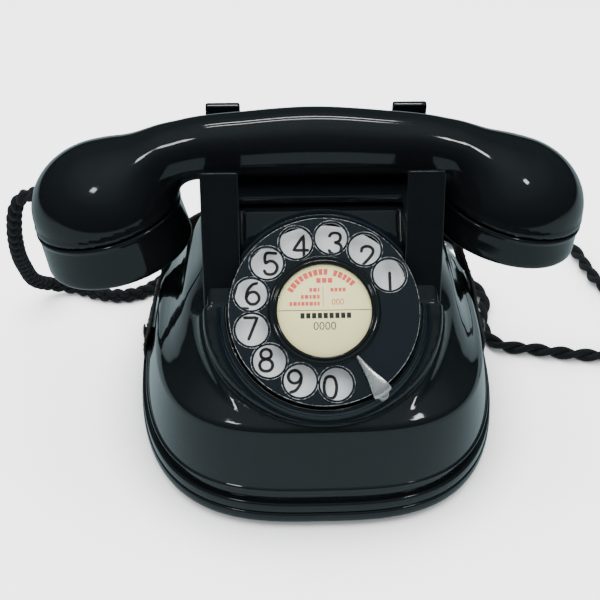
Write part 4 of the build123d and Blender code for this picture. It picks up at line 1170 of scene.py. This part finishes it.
# Finger stop stations: radius from the dial's centre, half width, height.
STOP_STATIONS = [
    (22.4, 0.5, 8.9), (24, 0.7, 9.1), (26, 0.95, 9.2), (28, 1.25, 9.25), (30, 1.6, 9.25),
    (32, 2.0, 9.25), (34, 2.5, 9.25), (35.6, 3.0, 9.2), (37.2, 3.5, 9.15), (38.6, 3.85, 9.0),
    (39.5, 3.95, 8.4), (40.2, 3.8, 7.2),
]
STOP_ANGLE = math.radians(-56.5)
STOP_THICK = 0.9


def stop_point(r, w, s):
    """Point at radius r along the finger stop and w across it."""
    c, d = math.cos(STOP_ANGLE), math.sin(STOP_ANGLE)
    return dial(r * c - w * d, r * d + w * c, s)


def build_finger_stop():
    """Crowned wedge with hollow sides and a lipped outer end, on a leg at the rim."""
    columns = 7
    rows = len(STOP_STATIONS)
    top, bottom = [], []
    for i, (r, half_width, s) in enumerate(STOP_STATIONS):
        for j in range(columns):
            t = j / (columns - 1) * 2 - 1
            arch = 1 - t ** 2
            # the last three rows bow outwards, the last two are undercut
            bow = 0.7 * arch if i > 8 else 0
            undercut = 0.8 if i > 9 else 0
            top.append(stop_point(r + bow, half_width * t, s + 0.35 * arch))
            bottom.append(stop_point(r - undercut, half_width * t, s - STOP_THICK))
    base = len(top)
    faces = []
    for i in range(rows - 1):
        for j in range(columns - 1):
            a = i * columns + j
            b = base + a
            faces.append([a, a + columns, a + columns + 1, a + 1])
            faces.append([b, b + 1, b + columns + 1, b + columns])
    for i in range(rows - 1):
        for j in (0, columns - 1):
            a = i * columns + j
            quad = [a, a + columns, base + a + columns, base + a]
            faces.append(quad if j else quad[::-1])
    for i in (0, rows - 1):
        for j in range(columns - 1):
            a = i * columns + j
            quad = [a, a + 1, base + a + 1, base + a]
            faces.append(quad if i == 0 else quad[::-1])
    wedge = mesh_object("stop_wedge", top + bottom, faces)
    sharpen(wedge, 40)
    leg = revolve("stop_leg", [(0.01, 7.6), (1.9, 7.6), (2.2, 7.0), (2.2, 0.0)],
                  stop_point(STOP_STATIONS[-1][0], 0, 0), DIAL_OUT, seg=32)
    stop = join("stop_wedge", [wedge, leg])
    face_outwards(stop)
    put(stop, "housing", "chrome", "chrome", "finger_stop")


build_bezel()
build_finger_wheel()
build_dial_centre()
print_card()
build_number_ring()
build_digits()
build_finger_stop()

# ----------------------------------------------------------------- cradle
LEAN = 0.2413  # y gained per mm of height
PRONG_X = (33.2, 48.2)
PRONG_TOP = 140.8
PRONG_THICK = 3.0
FRONT_FOOT_Z, REAR_FOOT_Z = 86.3, 118.8
SADDLE_Z, SADDLE_THICK = 118.4, 3.4
SADDLE_NOTCH_Y = -27.5
SADDLE_CORNER = 2.0


def front_y(z):
    return -54.5 + LEAN * (z - 86.5)


def rear_y(z):
    return 22.2 + LEAN * (PRONG_TOP - z)


def rounded_rect(x0, x1, y0, y1, r):
    corners = ((x1 - r, y0 + r, -90), (x1 - r, y1 - r, 0),
               (x0 + r, y1 - r, 90), (x0 + r, y0 + r, 180))
    return [(cx + r * math.cos(math.radians(t)), cy + r * math.sin(math.radians(t)))
            for cx, cy, start in corners for t in np.linspace(start, start + 90, 6)]


def prong(side, facing, foot_y, foot_z):
    """Leaning prong; side is +1 right, facing is -1 at the front and +1 at the rear."""
    slant = math.sqrt(1 + LEAN * LEAN)
    across = np.array([-facing, 0, 0])
    up = np.array([0, -facing * LEAN, 1.0])
    out = np.array([0, facing, LEAN]) / slant
    x0, x1 = sorted(-facing * side * x for x in PRONG_X)
    outline = rounded_rect(x0, x1, 0, (PRONG_TOP - foot_z) * slant - 0.1, 1.1)
    origin = np.array([0, foot_y, foot_z]) - out * PRONG_THICK
    return flat("prong", [outline], PRONG_THICK, 0.55, basis(origin, across, up, out))


def saddle():
    """Plate joining the prongs, notched at the front."""
    inner, outer = PRONG_X
    rear, front = rear_y(SADDLE_Z), front_y(120) + 0.6
    corners = np.array([
        (-outer, rear), (-outer, front), (-inner, front), (-inner, SADDLE_NOTCH_Y),
        (inner, SADDLE_NOTCH_Y), (inner, front), (outer, front), (outer, rear)])
    outline = []
    for i, p in enumerate(corners):
        to_last, to_next = corners[i - 1] - p, corners[(i + 1) % 8] - p
        a = p + to_last / np.linalg.norm(to_last) * SADDLE_CORNER
        b = p + to_next / np.linalg.norm(to_next) * SADDLE_CORNER
        for t in np.linspace(0, 1, 5):
            outline.append(tuple((1 - t) ** 2 * a + 2 * t * (1 - t) * p + t * t * b))
    return flat("saddle", [outline], SADDLE_THICK, 0.7,
                Matrix.Translation((0, 0, SADDLE_Z * MM)))


def build_cradle():
    parts = []
    for side in (1, -1):
        parts.append(prong(side, -1, front_y(FRONT_FOOT_Z), FRONT_FOOT_Z))
        parts.append(prong(side, 1, rear_y(REAR_FOOT_Z), REAR_FOOT_Z))
    parts.append(saddle())
    parts.append(revolve("plunger", [
        (0.01, 118.9), (3.6, 118.9), (3.6, 92.6), (3.2, 92.2), (2.0, 92.2), (2.0, 84.2),
        (1.6, 83.65), (0.01, 83.6)], (0, PLUNGER_Y, 0), (0, 0, 1), seg=48))
    cradle = join("cradle_fork", parts)
    face_outwards(cradle)
    sharpen(cradle, 40)
    put(cradle, "cradle", "enamel", "black_enamel", "cradle")


build_cradle()

# ----------------------------------------------------------------- strap
# Right half of the strap's centre line, from its end up to where it passes behind.
STRAP_SIDE = [
    (81.45, 11.0, 14.6), (81.45, 11.0, 22.5), (78.9, 11.0, 31.0), (75.15, 11.0, 46.5),
    (73.7, 11.2, 53.0), (71.4, 12.2, 57.6), (69.0, 15.0, 62.0), (67.5, 20.5, 66.2),
    (66.8, 28.0, 68.3),
]
# The loop behind the shoulder is an oval at one height.
STRAP_OVAL = {"half_width": 66.8, "y_mid": -5.0, "y_rear": 52.4, "power": 3.1, "z": 68.8}
# Cross-section: across in half widths, outwards in half thicknesses.
STRAP_SECTION = [
    (-1.0, 0.0), (-0.97, 0.75), (-0.9, 1.0), (-0.84, 0.86), (-0.79, 0.98), (-0.4, 1.08),
    (0, 1.12), (0.4, 1.08), (0.79, 0.98), (0.84, 0.86), (0.9, 1.0), (0.97, 0.75), (1.0, 0.0),
    (0.97, -0.8), (0.9, -1.0), (0, -1.02), (-0.9, -1.0), (-0.97, -0.8),
]
STRAP_HALF_THICK = 0.85
STRAP_END_HALF_WIDTH = 7.5
STRAP_NARROWING = 1.5  # taken off the half width over STRAP_TAPER from each end
STRAP_TAPER = 60
STITCH = [(-0.9, -0.22), (-0.4, 0.05), (0.4, 0.05), (0.9, -0.22)]  # along, outwards


def strap_line():
    oval = SimpleNamespace(**STRAP_OVAL)
    half = list(STRAP_SIDE)
    for t in np.linspace(math.radians(122), math.radians(180), 14):
        x = oval.half_width * abs(math.sin(t)) ** (2 / oval.power)
        y = oval.y_mid + (oval.y_rear - oval.y_mid) * abs(math.cos(t)) ** (2 / oval.power)
        half.append((x, y, oval.z))
    return half + [(-x, y, z) for x, y, z in half[-2::-1]]


def build_strap():
    path, run = smooth_path(strap_line(), step=1.0, rounds=12)
    along = tangents(path)
    # outwards from the case, nearly straight sideways at the ends
    out = path * [1, 1, 0] + [0, 4.0, 0]
    out[:, 1] = np.where(np.abs(path[:, 0]) > 66, out[:, 1] * 0.12, out[:, 1])
    soften(out, 20)
    out -= (out * along).sum(1)[:, None] * along
    out /= np.linalg.norm(out, axis=1)[:, None]
    across = np.cross(along, out)
    inward = np.clip(np.minimum(run, run[-1] - run) / STRAP_TAPER, 0, 1)
    half_width = STRAP_END_HALF_WIDTH - STRAP_NARROWING * inward

    verts = [path[i] + across[i] * half_width[i] * a + out[i] * STRAP_HALF_THICK * b
             for i in range(len(path)) for a, b in STRAP_SECTION]
    count = len(STRAP_SECTION)
    faces = ring_faces(len(path), count)
    faces.append(list(range(count)))
    faces.append(list(range((len(path) - 1) * count, len(path) * count))[::-1])
    strap = mesh_object("leather_strap", verts, faces)

    stitches = []
    for i in range(3, len(path) - 3, 3):
        for side in (-1, 1):
            centre = path[i] + across[i] * half_width[i] * 0.84 * side + out[i] * 0.82
            thread = np.array([centre + along[i] * a + out[i] * b for a, b in STITCH])
            stitches.append(tube(thread, 0.24, 6))
    stitching = merged("strap_stitches", stitches)
    stitching.data.materials.append(MATERIALS["textile"])
    strap.data.materials.append(MATERIALS["leather"])
    strap = join("leather_strap", [strap, stitching])
    face_outwards(strap)
    sharpen(strap, 55)
    put(strap, "strap", None, "leather", "carry_strap")


def build_stud(name, side, *nodes):
    """Stud holding a strap end; side is +1 right, -1 left."""
    profile = [(2.2, -11.5), (2.2, 0.0), (3.4, 0.0), (3.7, 0.2), (3.65, 0.5), (3.0, 0.85),
               (1.6, 1.05), (0.01, 1.1)]
    stud = revolve(name, profile, (side * 81.6, 11.0, 26.0), (side, 0, 0), seg=48)
    put(stud, "housing", "steel", "steel", *nodes)


build_strap()
build_stud("stud_right", 1, "strap_studs")
build_stud("stud_left", -1)

# ----------------------------------------------------------------- cords
# Centre lines: from the handset's boss to the rear of the case, and from there
# round the right side over the floor.
HANDSET_CORD = [
    (-115.5, 0.9, 106.5), (-119.5, 2.7, 106.5), (-123.1, 4.3, 106.3), (-128.5, 7, 104),
    (-133.5, 11, 96), (-137.5, 18, 82), (-141, 30, 62), (-143.5, 48, 40), (-143, 66, 19),
    (-137, 80, 7), (-126, 81, 4), (-112, 75, 3.8), (-100, 73, 3.8), (-90, 76, 3.8),
    (-80, 86, 3.8), (-66, 99, 4), (-50, 106, 7), (-39, 104, 12.5), (-34.4, 97, 14.8),
    (-34, 90, 15), (-34, 82.5, 15),
]
LINE_CORD = [
    (34, 82.5, 15), (34, 90, 15), (34.4, 97, 14.8), (38.5, 103, 11.8), (50, 105, 6.5),
    (68, 101, 3.6), (84, 88, 3.5), (93, 66, 3.5), (88.8, 42, 3.5), (91, 29, 3.5),
    (98, 23, 3.5), (107, 21.7, 3.5), (122, 17.9, 3.5), (144, 14.8, 3.5), (163, 18, 3.5),
    (175, 36, 3.5), (170, 62, 3.5), (160, 77, 3.5), (156, 95.7, 3.5), (152.5, 114.5, 3.5),
    (141, 128, 3.5), (120, 134, 3.5), (102, 131, 3.5),
]
STRAND_RADIUS = 1.75
STRAND_SEGMENTS = 12
THREAD_PITCH = 1.6
THREAD_HEIGHT = 0.07


def plait(a):
    """Flat plait: side to side once while front to back twice."""
    return 1.75 * 1.25 * np.sin(a), 1.75 * 0.62 * np.sin(2 * a)


def twist(a):
    return 1.6 * np.cos(a), 1.6 * np.sin(a)


def cord(name, points, strands, pitch, lay):
    """Strands laid round a centre line, each ridged by its winding threads."""
    path, run = smooth_path(points, step=0.8, rounds=4)
    n, b = frames(path)
    angle = np.arange(STRAND_SEGMENTS) / STRAND_SEGMENTS * 2 * math.pi
    turn = 2 * math.pi * run[:, None] / THREAD_PITCH
    ridge = THREAD_HEIGHT * (np.sin(turn + 3 * angle) + np.sin(turn - 3 * angle))
    parts = []
    for k in range(strands):
        u, w = lay(2 * math.pi * run / pitch + 2 * math.pi * k / strands)
        centre = path + u[:, None] * b + w[:, None] * n
        # strands stay above the floor
        centre[:, 2] = np.maximum(centre[:, 2], STRAND_RADIUS + 0.25)
        verts, faces = tube(centre, STRAND_RADIUS, STRAND_SEGMENTS)
        verts = verts.reshape(len(centre), STRAND_SEGMENTS, 3)
        scale = (1 + ridge / STRAND_RADIUS)[..., None]
        verts = centre[:, None] + (verts - centre[:, None]) * scale
        parts.append((verts.reshape(-1, 3), faces))
    return merged(name, parts)


handset_cord = cord("braided_handset_cord", HANDSET_CORD, strands=3, pitch=20.0, lay=plait)
handset_cord.data.materials.append(MATERIALS["textile"])
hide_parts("handset_cord")
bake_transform(handset_cord)
line_cord = cord("twisted_line_cord", LINE_CORD, strands=2, pitch=24.0, lay=twist)
put(line_cord, "housing", "textile", "textile", "line_cord")


# ----------------------------------------------------------------- stage, in metres
def floor_material():
    """Pale floor, lit for the camera and toned teal to dark in reflections."""
    mat, tree = new_material("pale_floor")
    bsdf = tree.nodes["Principled BSDF"]
    set_inputs(tree, bsdf, {
        "Base Color": (0.86, 0.87, 0.87, 1), "Roughness": 0.85, "Specular IOR Level": 0.15})
    rays = add_node(tree, "LightPath")
    # reflected, it darkens a little way in front and far to the sides
    place = add_node(tree, "NewGeometry")
    split = add_node(tree, "SeparateXYZ", {"Vector": place.outputs["Position"]})
    front = add_node(tree, "MapRange", {
        "From Min": -0.42, "From Max": -0.50, "Value": split.outputs["Y"]})
    sides = add_node(tree, "MapRange", {"From Min": 0.6, "From Max": 1.6})
    width = add_node(tree, "Math", {0: split.outputs["X"]}, operation="ABSOLUTE")
    set_inputs(tree, sides, {"Value": width.outputs["Value"]})
    far = add_node(tree, "Math", {0: front.outputs["Result"], 1: sides.outputs["Result"]},
                   operation="MAXIMUM")
    reflected = add_node(tree, "Math", {0: 1.0, 1: rays.outputs["Is Glossy Ray"]},
                         operation="MULTIPLY")
    tone = add_node(tree, "Mix", {
        "A": (0.36, 0.47, 0.50, 1), "B": (0.008, 0.014, 0.018, 1),
        "Factor": far.outputs["Value"]}, data_type="RGBA")
    dim = add_node(tree, "Emission", {"Color": tone.outputs["Result"]})
    mix = add_node(tree, "MixShader", {
        "Fac": reflected.outputs["Value"], 1: bsdf.outputs["BSDF"],
        2: dim.outputs["Emission"]})
    # seen directly it glows, except where the base and cords shade it closely
    glow = add_node(tree, "Emission", {"Color": (1.0, 1.0, 1.0, 1)})
    lift = add_node(tree, "Math", {0: rays.outputs["Is Camera Ray"], 1: 1.3},
                    operation="MULTIPLY")
    contact = add_node(tree, "AmbientOcclusion", {"Distance": 0.022})
    deep = add_node(tree, "Math", {0: contact.outputs["AO"], 1: 2.5}, operation="POWER")
    shade = add_node(tree, "Math", {0: lift.outputs["Value"], 1: deep.outputs["Value"]},
                     operation="MULTIPLY")
    set_inputs(tree, glow, {"Strength": shade.outputs["Value"]})
    both = add_node(tree, "AddShader", {0: mix.outputs["Shader"], 1: glow.outputs["Emission"]})
    set_inputs(tree, tree.nodes["Material Output"], {"Surface": both.outputs["Shader"]})
    return mat


def build_floor():
    corners = [(-6000, -5000, 0), (6000, -5000, 0), (6000, 7000, 0), (-6000, 7000, 0)]  # mm
    floor = mesh_object("floor", corners, [(0, 1, 2, 3)], smooth=False)
    floor.data.materials.append(floor_material())


def build_world():
    """Even white room, dim teal grey in reflections with a paler ceiling."""
    world = bpy.data.worlds.new("room")
    bpy.context.scene.world = world
    world.use_nodes = True
    tree = world.node_tree
    white = tree.nodes["Background"]
    set_inputs(tree, white, {"Color": (0.93, 0.94, 0.94, 1), "Strength": 1.45})
    rays = add_node(tree, "LightPath")
    coords = add_node(tree, "TexCoord")
    split = add_node(tree, "SeparateXYZ", {"Vector": coords.outputs["Generated"]})
    ramp = add_node(tree, "ValToRGB", {"Fac": split.outputs["Z"]})
    stops = ramp.color_ramp.elements
    stops[0].color = (0.012, 0.017, 0.020, 1)
    stops[1].color = (0.30, 0.37, 0.38, 1)
    stops.new(0.55).color = (0.05, 0.075, 0.085, 1)
    stops.new(0.8).color = (0.16, 0.21, 0.22, 1)
    mirrored = add_node(tree, "Background", {"Color": ramp.outputs["Color"]})
    mix = add_node(tree, "MixShader", {
        "Fac": rays.outputs["Is Glossy Ray"], 1: white.outputs["Background"],
        2: mirrored.outputs["Background"]})
    set_inputs(tree, tree.nodes["World Output"], {"Surface": mix.outputs["Shader"]})


def area(name, location, aim_z, size, power, color=(1, 1, 1), glossy=True):
    """Rectangular light aimed at the z axis at height aim_z."""
    light = bpy.data.lights.new(name, "AREA")
    light.shape = "RECTANGLE"
    light.size, light.size_y = size
    light.energy = power
    light.color = color
    obj = link(bpy.data.objects.new(name, light))
    obj.location = location
    aim = Vector((0, 0, aim_z)) - Vector(location)
    obj.rotation_euler = aim.to_track_quat("-Z", "Y").to_euler()
    obj.visible_glossy = glossy
    obj.visible_camera = False


def build_lights():
    area("fill_top", location=(0, 0.1, 1.9), aim_z=0, size=(2.6, 2.6), power=86, glossy=False)
    area("strip_back", location=(0.0, 0.62, 1.15), aim_z=0.13, size=(0.62, 0.035), power=1.6)
    area("strip_mid", location=(0.0, 0.40, 1.25), aim_z=0.13, size=(0.62, 0.035), power=1.6)
    area("panel_left", location=(-0.42, -0.42, 1.05), aim_z=0.1, size=(0.16, 0.10), power=0.8)
    area("panel_right", location=(0.48, -0.35, 1.0), aim_z=0.1, size=(0.14, 0.08), power=0.7)
    area("side_left", location=(-1.3, -0.2, 0.55), aim_z=0.08, size=(0.5, 0.7), power=4.0,
         color=(0.95, 0.98, 1.0), glossy=False)


CAMERA_TARGET = Vector((0, -0.0044, 0.060))
CAMERA_DISTANCE = 0.520
CAMERA_AZIMUTH = math.radians(-2.86)
CAMERA_ELEVATION = math.radians(34.68)
CAMERA_ROLL = math.radians(0.75)


def build_camera():
    azimuth, elevation = CAMERA_AZIMUTH, CAMERA_ELEVATION
    back = Vector((math.sin(azimuth) * math.cos(elevation),
                   -math.cos(azimuth) * math.cos(elevation), math.sin(elevation)))
    level = Vector((math.cos(azimuth), math.sin(azimuth), 0))
    upright = back.cross(level)
    c, s = math.cos(CAMERA_ROLL), math.sin(CAMERA_ROLL)
    right = level * c + upright * s
    up = upright * c - level * s
    camera = bpy.data.cameras.new("camera")
    camera.sensor_width = 36
    camera.lens = 68.4126
    camera.shift_x = -0.02821667
    camera.shift_y = -0.01866667
    camera.clip_start = 0.02
    obj = link(bpy.data.objects.new("camera", camera))
    placement = Matrix((right, up, back)).transposed().to_4x4()
    placement.translation = CAMERA_TARGET + back * CAMERA_DISTANCE
    obj.matrix_world = placement
    bpy.context.scene.camera = obj


build_floor()
build_world()
build_lights()
build_camera()
